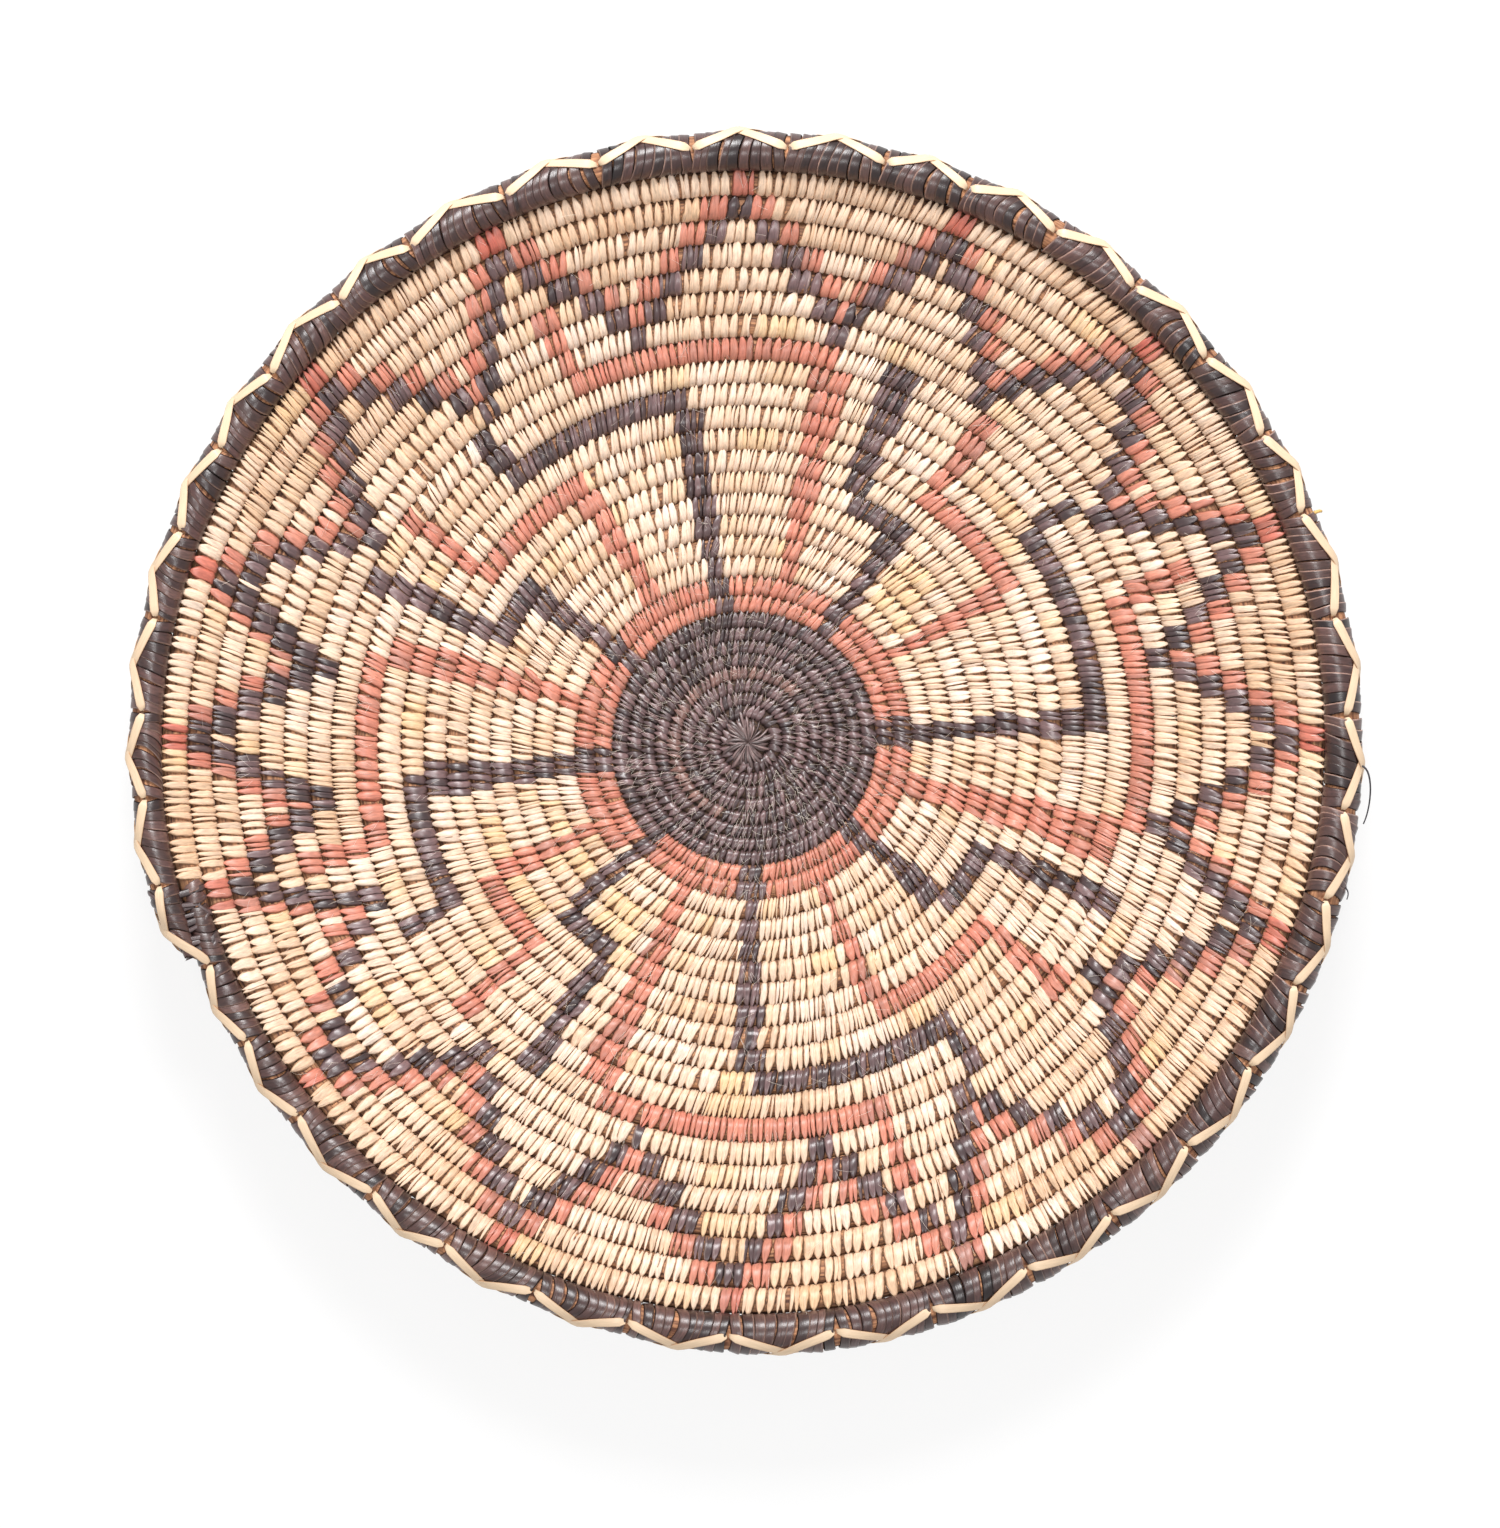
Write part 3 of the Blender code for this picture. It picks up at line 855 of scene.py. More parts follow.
@dataclass(frozen=True)
class Sewing:
    """All stitches of the coil, placed along the spiral and coloured by the pattern."""

    dish: Dish
    pattern: Pattern
    unit: StripUnit = StripUnit()
    shape: StitchShape = StitchShape()
    vary: StitchSpread = StitchSpread()
    dye: DyeSpread = DyeSpread()
    first_turn: float = -4.25
    bare_end: float = 0.0038
    pitch_reach: tuple = (0.0, 0.030, 0.060, 0.110, 0.185)
    pitch_sizes: tuple = (0.00190, 0.00225, 0.00250, 0.00272, 0.00310)
    lean_reach: tuple = (0.01, 0.05, 0.10, 0.19)
    lean_degrees: tuple = (16, 15, 11, 8)
    lean_wander: float = 5.0
    lean_waves: float = 4.1
    spread_share: float = 1.22
    least_room: float = 0.45
    relax_rounds: int = 6
    relax_share: float = 0.35
    split_share: float = 0.12
    split_places: tuple = (0.36, 0.64)
    split_fan: float = 0.16
    height_share: float = 0.98
    natural: tuple = (237, 206, 180)
    natural_pale: tuple = (243, 220, 203)
    natural_tan: tuple = (214, 172, 134)
    golden: tuple = (232, 192, 140)
    red: tuple = (209, 136, 115)
    bright_red: tuple = (196, 97, 84)
    faded: tuple = (170, 124, 112)
    dark: tuple = (117, 92, 92)
    darkest: tuple = (68, 53, 54)
    frayed: tuple = (214, 186, 174)
    # Browner tint for the painted shade along the edges of natural and red strips.
    edge_shade_tint: tuple = (1.0, 0.84, 0.70)
    edge_from: float = 0.9
    fibre_scale: float = 5
    red_brown: tuple = (23.85, 24.42)

    def lean_of(self, turns: np.ndarray) -> np.ndarray:
        """How far a stitch's tip lies behind its start.

        Args:
            turns: places of the stitches on the spiral.

        Returns:
            The shift of each tip along the coil, in turns.
        """
        reach = self.dish.coil_reach(turns)
        degrees = np.interp(reach, self.lean_reach, self.lean_degrees)
        degrees = degrees + self.lean_wander * smooth_noise(turns * self.lean_waves, 31)
        size = np.tan(np.radians(degrees)) * self.dish.pitch(turns)
        return -size / (TAU * self.dish.on_dish(reach)[0])

    def place(self) -> np.ndarray:
        """Places each stitch on the tip of one in the row inside it, and adds one where they spread.

        Returns:
            The stitches' places on the spiral, in turns.
        """
        places = [self.first_turn]
        while places[-1] < self.first_turn + 1:
            places.append(places[-1] + self.step(places[-1]))
        inner = 0
        while places[-1] < self.dish.loops:
            here = np.float64(places[inner])
            tip = here + 1 + float(self.lean_of(here))
            room = (tip - places[-1]) / self.step(places[-1])
            if room > self.spread_share:
                places.append((tip + places[-1]) / 2)
            if room > self.least_room:
                places.append(tip)
            inner += 1
        return self.relax(np.array(places))

    def step(self, turns: float) -> float:
        """The usual distance between stitches here, in turns."""
        reach = self.dish.coil_reach(np.float64(turns))
        return float(np.interp(reach, self.pitch_reach, self.pitch_sizes) / (TAU * self.dish.on_dish(reach)[0]))

    def relax(self, places: np.ndarray) -> np.ndarray:
        """Evens the distances between neighbours a little, as pulled tight.

        Args:
            places: the stitches' places on the spiral.

        Returns:
            The places, as far as the coil's sewn end.
        """
        for _ in range(self.relax_rounds):
            middles = (places[:-2] + places[2:]) / 2
            places[1:-1] += self.relax_share * (middles - places[1:-1])
        return places[places < self.dish.loops - self.bare_end]

    def split(self, places: np.ndarray, draws: np.random.Generator) -> np.ndarray:
        """Parts some stitches into two narrow strips, as the palm splits.

        Args:
            places: the stitches' places on the spiral.
            draws: which stitches are split.

        Returns:
            For each strip its place, the room for its stitch, its share of that and how far it fans out.
        """
        count, spacing = len(places), np.gradient(places)
        parted = draws.uniform(0, 1, count) < self.split_share
        lower = draws.uniform(*self.split_places, count)
        fan = draws.uniform(0.0, self.split_fan, count)
        whole = np.array([places, spacing, np.ones(count), np.zeros(count)])
        first = np.array([places - spacing * (1 - lower) / 2, spacing, lower, -fan])
        second = np.array([places + spacing * lower / 2, spacing, 1 - lower, fan])[:, parted]
        strips = np.concatenate([np.where(parted, first, whole), second], axis=1)
        return strips[:, np.argsort(strips[0])]

    def points(self, strip: Strip, strips: np.ndarray, draws: np.random.Generator) -> np.ndarray:
        """Bends a copy of the strip round the coil at every place.

        Args:
            strip: the strip.
            strips: what split returns, each row as a column.
            draws: where the small differences come from.

        Returns:
            The vertices of each copy.
        """
        dish, shape, vary, across = self.dish, self.shape, self.vary, strip.across
        places, spacing, share, fan = strips
        each = places.shape
        out, up, wide, high, lean = strip.profile(shape.out, shape.up, shape.wide, shape.crown, shape.lean)
        shift = self.lean_of(places) * (1 + draws.normal(0, vary.lean, each))
        shift = shift + (draws.normal(0, vary.tip, each) + fan) * spacing
        start = places + draws.normal(0, vary.start, each) * spacing
        inmost = 1 - ramp(dish.coil_reach(places), *vary.inmost_reach)
        half = spacing * (shape.half_width + vary.inmost_width * inmost) * share
        half = half * (1 + draws.normal(0, vary.width, each))
        narrow = wide ** (draws.normal(shape.taper, vary.taper, each) + vary.inmost_taper * inmost)
        narrow = narrow * (1 + draws.normal(0, shape.ragged, narrow.shape))
        tip_long = 1 + draws.normal(0, vary.length, each) + vary.inmost_length * inmost
        out = np.where(out > shape.tip_from, out * tip_long, out)
        ridge = (across == 0) & (strip.crown > 0)
        crease = draws.normal(shape.crease, vary.crease, each) * ridge
        beside = across + draws.uniform(-vary.ridge, vary.ridge, each) * ridge
        bow = draws.normal(0, vary.bow, each) * spacing
        turns = start + shift * lean + bow * np.sin(np.pi * np.clip(lean, 0, 1)) + half * narrow * beside
        along_out, along_up = dish.axes(turns)
        tilt = draws.normal(0, vary.tilt, each) * across
        lift = (strip.crown + crease - shape.crown_base) * high * shape.crown_height * share + tilt
        lift = lift / np.hypot(out, up)
        sideways = (dish.pitch(places) / 2 + lift) * out
        upward = (dish.strand(places) * self.height_share + lift) * up
        points = dish.centre(turns) + along_out * sideways[..., None] + along_up * upward[..., None]
        points[..., 2] = np.maximum(points[..., 2], FLOOR_LIFT)
        return points

    def tints(self, palm: np.ndarray, inward: np.ndarray, draws: np.random.Generator) -> np.ndarray:
        """A colour for each stitch: its palm, with the fading and dye differences of the real ones.

        Args:
            palm: the palm of each stitch.
            inward: its turns inwards from the coil's end, as a column.
            draws: where the small differences come from.

        Returns:
            Red, green and blue of each stitch.
        """
        dye, pattern, each = self.dye, self.pattern, inward.shape
        drift = smooth_noise(inward * dye.drift_waves, 41) + draws.normal(0, dye.drift, each)
        drift = drift - dye.inmost_tan * ramp(-inward, -6, -2)
        warm = [smooth_noise(inward * waves, seed) for waves, seed in zip(dye.warm_waves, (43, 44))]
        warm = np.clip(warm[0] * dye.warm_sizes[0] + warm[1] * dye.warm_sizes[1], -1, 1)
        share = np.clip(drift * 0.5, -1, 1)
        plain = linear(self.natural)
        colour = blend(plain, self.natural_pale, np.maximum(share, 0))
        colour = colour + (linear(self.natural_tan) - plain) * np.maximum(-share, 0) * dye.tan
        golden = np.clip(warm - dye.warm_from, 0, dye.golden_most)
        golden[pattern.inside(inward, pattern.spans(pattern.golden_blocks))] = dye.golden_block
        colour = blend(colour, self.golden, np.clip(golden * draws.uniform(*dye.golden, each), 0, 1))
        bright = np.clip(dye.bright_rows - inward, 0, 1) / 2 + np.clip(draws.normal(0, dye.bright, each), 0, 1)
        reds = blend(linear(self.red) * (1 + dye.red_drift * share), self.bright_red, np.clip(bright, 0, 1))
        worn = draws.normal(*dye.worn, each) + dye.worn_size * smooth_noise(inward * dye.worn_waves, 47)
        worn = np.clip(worn, 0, dye.worn_most)
        worn[pattern.inside(inward, pattern.spans(pattern.faded_blocks))] = dye.worn_block
        reds = blend(reds, self.faded, worn)
        darks = blend(linear(self.dark), self.darkest, draws.uniform(*dye.dark, each))
        brown = pattern.inside(inward, [self.red_brown]) * draws.uniform(*dye.brown, each)
        darks = darks + (linear(self.faded) * dye.brown_shade - darks) * brown
        colour = np.where(palm == Palm.RED, reds, np.where(palm == Palm.DARK, darks, colour))
        return colour * (1 + draws.normal(0, dye.shade, each))

    def build(self) -> list:
        """Makes the stitches as pieces of one palm each.

        Returns:
            The pieces.
        """
        draws = np.random.default_rng(SEED)
        strips = self.split(self.place(), draws)[..., None]
        inward = self.dish.loops - (strips[0] + self.lean_of(strips[0]) / 2)
        palm = self.pattern.colours(inward)
        tint = self.tints(palm, inward, draws)[:, None]
        strip = self.unit.model()
        points = self.points(strip, strips, draws)
        shift = draws.uniform(0, 90, inward.shape)
        # Painted shade: both edges of the natural and red strips are made browner, a coloured part of the shade
        # painted along strip edges.
        edge_shade_tints = np.where(np.abs(strip.across)[:, None] > self.edge_from, self.edge_shade_tint, 1)
        pieces = []
        for kind, slot in ((Palm.NATURAL, "sewn_grass"), (Palm.RED, "sewn_grass"), (Palm.DARK, "dark_palm")):
            chosen = np.flatnonzero(palm == kind)
            for number, some in enumerate(np.array_split(chosen, math.ceil(len(chosen) / MOST_STITCHES)), 1):
                frayed, colour = 0, tint[some] * edge_shade_tints
                if kind is Palm.DARK:
                    frayed = np.clip(draws.normal(*self.dye.frayed, (len(some), 1)), 0, self.dye.frayed_most)
                    frayed = (strip.across < -self.edge_from) * frayed
                    colour = blend(tint[some], self.frayed, frayed[..., None])
                look = (slot, PALM_FINISHES[kind], colour, strip.round * self.fibre_scale, shift[some], frayed)
                pieces.append(strip.copies(f"stitches_{kind.value}_{number}", points[some], *look))
        LOG.info("stitches: %d in %d pieces", len(inward), len(pieces))
        return pieces


@dataclass(frozen=True)
class Foundation:
    """The grass bundle of the coil, seen in the gaps between the stitches."""

    dish: Dish
    first_turn: float = -4.9
    past_end: float = 0.004
    steps: int = 44
    sides: int = 12
    share: float = 0.82
    side_share: float = 1.06
    dark_turns: float = 4.1
    dark_shades: tuple = (0.4, 0.24)
    shades: tuple = (0.42, 0.58)
    fibre_scale: float = 40

    def build(self) -> list:
        """Makes the bundle from the start knot to the rim.

        Returns:
            The one piece, which stands for the plain coil.
        """
        dish, last_turn = self.dish, self.dish.loops + self.past_end
        count = round((last_turn - self.first_turn) * self.steps)
        turns = np.linspace(self.first_turn, last_turn, count)[::-1, None]
        side = np.arange(self.sides) * TAU / self.sides
        out, up = dish.axes(turns)
        wide = np.cos(side) * (dish.pitch(turns) / 2 * self.side_share)
        high = np.sin(side) * (dish.strand(turns) * self.share)
        rings = dish.centre(turns) + out * wide[..., None] + up * high[..., None]
        piece = new_tube("coil_grass", rings, "sewn_grass", COIL_GRASS)
        # Painted shade: darker towards the grass's sides, where it dips between the rows. It is also darker in the
        # innermost turns.
        low, rise = self.shades
        crown, whole = (np.where(turns < self.dark_turns, shade, 1) for shade in self.dark_shades)
        shade = (low + rise * np.abs(np.sin(side)) ** 1.5 * crown) * whole
        paint(piece, wide.shape, shade[..., None], shade, np.arange(self.sides) / self.sides, turns * self.fibre_scale)
        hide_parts("coil")
        return [piece]


@dataclass(frozen=True)
class StartKnot:
    """The radiating stitches over the middle, where the coil begins."""

    dish: Dish
    strips: int = 58
    reach: float = 0.0069
    swirl: float = 0.20
    height: float = 0.0036
    thickness: float = 0.00040
    width_share: float = 1.7
    core: tuple = (0.0060, 0.00175, 0.00185)
    unit: StripUnit = StripUnit(steps=14)
    far: tuple = (0.02, 0.18, 0.36, 0.54, 0.72, 0.86, 0.98, 1.06, 0.98, 0.8, 0.55, 0.3, 0.12, 0.02)
    up: tuple = (1.06, 1.12, 1.15, 1.13, 1.09, 1.02, 0.90, 0.72, 0.2, 0.06, 0.03, 0.03, 0.03, 0.5)
    wide: tuple = (1.0, 1.0, 1.0, 1.0, 0.95, 0.84, 0.6, 0.15, 0.5, 0.8, 1.0, 1.0, 1.0, 1.0)
    colour: tuple = (112, 92, 90)
    shades: tuple = (0.45, 1.6)
    turn_vary: float = 0.05
    reach_vary: float = 0.16
    width_vary: float = 0.5
    swirl_vary: float = 0.2
    height_vary: tuple = (-0.05, 0.10)
    fibre_scale: float = 3
    grass_scale: float = 60

    def grass(self) -> bpy.types.Object:
        """Makes the small knot of grass under the strips.

        Returns:
            The piece, a flattened ball.
        """
        radius, half_height, middle = self.core
        bpy.ops.object.select_all(action="DESELECT")
        bpy.ops.mesh.primitive_uv_sphere_add(segments=24, ring_count=10, radius=radius)
        ball = bpy.context.object
        ball.name = "start_knot_grass"
        bpy.ops.object.mode_set(mode="EDIT")
        bpy.ops.mesh.select_all(action="SELECT")
        bpy.ops.transform.resize(value=(1, 1, half_height / radius))
        bpy.ops.transform.translate(value=(0, 0, middle))
        bpy.ops.object.mode_set(mode="OBJECT")
        ball.data.shade_smooth()
        ball.data.materials.append(START_GRASS.material())
        lie = np.array([vert.co[:2] for vert in ball.data.vertices]) * self.grass_scale
        paint(ball, (len(lie), 1), 1, 1, lie[:, :1], lie[:, 1:])
        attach(ball, BODY)
        return ball

    def build(self) -> list:
        """Makes the strips and the grass under them.

        Returns:
            The pieces; the strips stand for the plain start knot.
        """
        draws = np.random.default_rng(SEED + 1)
        strip, each = self.unit.model(), (self.strips, 1)
        far, up, wide = strip.profile(self.far, self.up, self.wide)
        turn = np.arange(self.strips)[:, None] * TAU / self.strips + draws.normal(0, self.turn_vary, each)
        reach = self.reach * (1 + draws.normal(0, self.reach_vary, each)) * far
        half = np.pi / self.strips * (self.width_share + draws.normal(0, self.width_vary, each)) * wide
        angle = turn + strip.across * half + draws.normal(self.swirl, self.swirl_vary, each) * far
        lift = (strip.crown - 0.6) * self.thickness * np.clip(far * 2, 0.15, 1)
        level = self.height * up * (1 + draws.uniform(*self.height_vary, each)) + lift
        points = np.stack([np.cos(angle) * reach, np.sin(angle) * reach, np.maximum(level, FLOOR_LIFT)], axis=-1)
        tint = (linear(self.colour) * draws.uniform(*self.shades, each))[:, None]
        look = ("dark_palm", PALM_FINISHES[Palm.DARK], tint, far * self.fibre_scale, draws.uniform(0, 90, each))
        piece = strip.copies("start_knot_strips", points, *look)
        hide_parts("start_knot")
        return [piece, self.grass()]


@dataclass(frozen=True)
class RimPath:
    """The rim: the coil's last turn, with the notches that its lacing passes through."""

    dish: Dish
    first: float = 193.7
    last: float = 561.2
    hole_share: float = 0.14
    bulge_degrees: tuple = (5, 20, 256, 272, 290, 320, 350)
    bulge_sizes: tuple = (0.0005, 0.0, 0.0, 0.0014, 0.0017, 0.0016, 0.0010)
    bulge_middle: float = 0.05
    bulge_spread: float = 0.38
    bulge_start: float = 0.35
    notches: tuple = (
        202.4, 210.8, 219.8, 230.3, 239.0, 248.7, 258.2, 268.0, 278.3, 287.7, 297.7, 307.3, 317.2,
        327.0, 336.0, 344.8, 353.6, 362.8, 372.5, 383.0, 391.4, 400.6, 410.3, 419.5, 428.8, 437.0,
        446.4, 455.5, 464.5, 473.8, 484.0, 492.4, 501.9, 510.5, 519.2, 527.8, 536.9, 545.2, 553.6,
    )

    def centre(self, degrees: np.ndarray) -> np.ndarray:
        """Middle of the rim at path angles."""
        return self.dish.centre(self.dish.turns(degrees))

    def radius(self, degrees: np.ndarray) -> np.ndarray:
        """Outer radius of the bound rim at path angles."""
        return self.dish.strand(self.dish.turns(degrees))

    def bulge(self, degrees: np.ndarray, section: np.ndarray) -> np.ndarray:
        """How far the rim swells out between the crossings of its lacing.

        Args:
            degrees: path angles.
            section: angles round the section from straight out, upwards, in radians.

        Returns:
            The distances, none at a crossing, and little but on the lower right side.
        """
        size = np.interp(degrees, self.bulge_degrees, self.bulge_sizes, period=360)
        bounds = (self.first, *self.notches, self.last)
        beside = 2 * np.abs(np.interp(degrees, bounds, np.arange(len(bounds))) % 1 - 0.5)
        size = size * (1 - np.exp(-((beside / self.bulge_start) ** 2))) * (1 - 0.3 * beside**6)
        return size * np.exp(-(((section - self.bulge_middle) / self.bulge_spread) ** 2))

    def round_to(
        self, degrees: np.ndarray, section: np.ndarray, far: np.ndarray, middle: np.ndarray | None = None
    ) -> np.ndarray:
        """Points round the rim's middle.

        Args:
            degrees: path angles.
            section: angles round the section from straight out, upwards, in radians.
            far: distances from the rim's middle.
            middle: where that is, if not at the path angles.

        Returns:
            The points.
        """
        middle = self.centre(degrees) if middle is None else middle
        point = middle + self.dish.outward(degrees) * (np.cos(section) * far)[..., None]
        point[..., 2] += np.sin(section) * far
        return point

    def distance(self, degrees: np.ndarray) -> np.ndarray:
        """Distance of the rim's middle from the basket's middle."""
        return self.dish.on_dish(self.dish.reach(self.dish.turns(degrees)))[0]

    def degrees_for(self, length: np.ndarray, degrees: float) -> np.ndarray:
        """The path angle that a length along the rim takes."""
        return np.degrees(length / self.distance(degrees))


@dataclass(frozen=True)
class RimGrass:
    """The tan bundle inside the rim's binding, dented where the lacing is threaded."""

    path: RimPath
    sides: int = 20
    share: float = 0.86
    step_degrees: float = 0.45
    fine_steps: int = 3
    dent: float = 0.0013
    dent_width: float = 0.0009
    dent_turn: float = 0.30
    ripple: float = 0.00010
    ripple_waves: tuple = (5, 0.35)
    bulge_share: float = 0.9
    fibre_scale: float = 0.4

    def build(self) -> list:
        """Makes the bundle.

        Returns:
            The one piece, which stands for the plain rim bundle.
        """
        path = self.path
        fine = np.arange(-self.fine_steps, self.fine_steps + 1) * path.degrees_for(self.dent_width / 2, 300)
        degrees = [np.arange(path.first, path.last, self.step_degrees), *(notch + fine for notch in path.notches)]
        degrees = np.unique(np.round(np.concatenate(degrees), 4))[::-1, None]
        section = np.arange(self.sides) * TAU / self.sides
        far, distance, hole = path.radius(degrees) * self.share, path.distance(degrees), math.acos(path.hole_share)
        for notch in path.notches:
            beside = np.radians(degrees - notch) * distance / self.dent_width
            for facing in (hole, -hole):
                turn = signed(section - facing) / self.dent_turn
                far = far - self.dent * np.exp(-(beside**2) - turn**2)
        far += self.ripple * np.sin(section * self.ripple_waves[0] + degrees * self.ripple_waves[1])
        far += self.bulge_share * path.bulge(degrees, signed(section))
        piece = new_tube("rim_grass", path.round_to(degrees, section, far), "tan_bundle", RIM_GRASS)
        paint(piece, far.shape, 1, 1, np.arange(self.sides) / self.sides, degrees * self.fibre_scale)
        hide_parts("rim_bundle")
        return [piece]


@dataclass(frozen=True)
class RimWraps:
    """The dark strip wound over the rim, in a fan of flat wraps between each notch and the next."""

    path: RimPath
    unit: StripUnit = StripUnit(22, ((-1, 0.1), (-0.72, 0.85), (0.72, 0.95), (1, 0.2), (0, -0.6)))
    wrap_width: float = 0.0031
    crown: float = 0.00022
    drawn_in: float = 0.00018
    drawn_wraps: float = 1.6
    radius_share: float = 0.985
    lap: tuple = (0.00016, 0.00007)
    half_width: float = 0.575
    end_half_width: float = 0.61
    thin_share: float = 0.04
    thin_width: float = 0.93
    slant: tuple = (0.55, 0.12)
    bow: tuple = (0.2, 0.6)
    bow_vary: float = 0.14
    vary: float = 0.06
    brown_vary: float = 0.22
    pale_shares: tuple = (-0.2, 1.0)
    edge_from: float = 0.9
    fibre_scale: float = 7
    gap_turns: tuple = (0.0, 0.70, 1.29, 1.90, 2.50, math.pi)
    gap_sizes: tuple = (0.0014, 0.0022, 0.0027, 0.0014, 0.0002, 0.0)
    dark: tuple = (88, 61, 58)
    darkest: tuple = (36, 23, 24)
    brown: tuple = (132, 98, 90)
    # Painted light: where and how strongly the wraps are lightened on the side of the rim that catches more light.
    lit_side_degrees: float = 235.0
    lit_side_share: float = 0.17
    pale: tuple = (206, 166, 150)

    def group(
        self, strip: Strip, number: int, start: float, end: float, draws: np.random.Generator
    ) -> bpy.types.Object:
        """Makes one group of wraps.

        Args:
            strip: one wrap, to be copied.
            number: the group's number, from 1.
            start: path angle of the notch before it.
            end: path angle of the notch after it.
            draws: where the small differences come from.

        Returns:
            The piece, which stands for the plain binding of that group.
        """
        path, across, section, middle = self.path, strip.across, strip.section(), (start + end) / 2
        wide = path.degrees_for(self.wrap_width, middle)
        count = max(2, round((end - start) / wide))
        each = (count, 1)
        gap = path.degrees_for(np.interp(np.abs(section), self.gap_turns, self.gap_sizes), middle)
        share = (np.arange(count)[:, None] + 0.5) / count - 0.5 + draws.normal(0, self.vary, each) / count
        room = end - start - gap
        bow = draws.normal(*self.bow) + draws.normal(0, self.bow_vary, each)
        lean = (bow * np.sin(section) - draws.normal(*self.slant) * np.cos(section)) * wide
        half = np.where(draws.uniform(0, 1, each) < self.thin_share, self.thin_width, 1) * room / count
        half = half * (self.end_half_width if number in (1, len(path.notches) + 1) else self.half_width)
        half = half * (1 + draws.normal(0, self.vary, each))
        degrees = middle + share * room + lean * (1 - 4 * share**2) + half * across
        near = np.minimum(degrees - start, end - degrees) / wide / self.drawn_wraps
        drawn = self.drawn_in * np.clip(1 - near, 0, 1) ** 2 * np.clip(np.cos(section) + 0.6, 0, 1)
        lift = (strip.crown - 0.6) * self.crown + across * draws.normal(*self.lap, each)
        far = path.radius(np.clip(degrees, path.first, path.last)) * self.radius_share - drawn + lift
        points = path.round_to(degrees, section, far + path.bulge(degrees, section))
        tint = blend(linear(self.dark), self.darkest, draws.uniform(0, 1, each))
        # Painted light: wraps nearest the lower left of the rim are taken towards the lighter brown, as that side
        # catches more light; the rest of the brown is random tone.
        worn = self.lit_side_share * max(0.0, math.cos(math.radians(middle - self.lit_side_degrees)))
        tint = blend(tint, self.brown, np.clip(draws.normal(0.0, self.brown_vary, each) + worn, 0, 1))[:, None]
        pale = (across > self.edge_from) * draws.uniform(*self.pale_shares, each)
        tint = blend(tint, self.pale, np.clip(pale, 0, 1)[..., None])
        along = strip.round * self.fibre_scale
        look = (RIM_PALM, tint, along, draws.uniform(0, 90, each), np.clip(pale * 2, 0, 1))
        piece = strip.copies(f"rim_wraps_{number:02d}", points, "dark_binding", *look)
        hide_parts(f"rim_binding_{number:02d}")
        return piece

    def build(self) -> list:
        """Makes every group of wraps.

        Returns:
            The pieces, one for each group.
        """
        draws, strip = np.random.default_rng(SEED + 2), self.unit.model()
        starts, ends = (self.path.first, *self.path.notches), (*self.path.notches, self.path.last)
        return [self.group(strip, number, *ends, draws) for number, ends in enumerate(zip(starts, ends), 1)]


@dataclass(frozen=True)
class EndStitches:
    """The dark strips over both strands, which bind the rim's tapered end to its start."""

    path: RimPath
    unit: StripUnit = StripUnit(steps=24)
    first: float = 195.1
    last: float = 201.4
    count: int = 10
    width: float = 0.0019
    sink: float = 0.0013
    sink_turn: float = 0.45
    thickness: float = 0.00035
    place_vary: float = 0.12
    width_vary: float = 0.18
    slant_vary: float = 0.8
    colour: tuple = (84, 68, 68)
    shades: tuple = (0.6, 1.3)
    fibre_scale: float = 9

    def build(self) -> list:
        """Makes the strips.

        Returns:
            The one piece.
        """
        draws = np.random.default_rng(SEED + 4)
        path, strip, each = self.path, self.unit.model(), (self.count, 1)
        section = strip.section()
        out = np.cos(section)
        places = np.linspace(self.first, self.last, self.count)[:, None] + draws.normal(0, self.place_vary, each)
        half = path.degrees_for(self.width / 2, self.first) * (1 + draws.normal(0, self.width_vary, each))
        degrees = places + half * strip.across + draws.normal(0, self.slant_vary, each) * out
        beyond = np.where(out > 0, np.minimum(degrees + 360, path.last), degrees)
        far = path.radius(beyond) + draws.uniform(0, self.thickness, each)
        far = far + (strip.crown - 0.5) * self.thickness - self.sink * np.exp(-((out / self.sink_turn) ** 2))
        points = path.round_to(degrees, section, far, path.centre(beyond))
        tint = (linear(self.colour) * draws.uniform(*self.shades, each))[:, None]
        look = ("dark_binding", RIM_PALM, tint, strip.round * self.fibre_scale, draws.uniform(0, 90, each))
        return [strip.copies("end_stitches", points, *look)]


class Side(Enum):
    """Which face of the rim a lacing strip leaves each notch on."""

    FRONT = 1
    BACK = -1


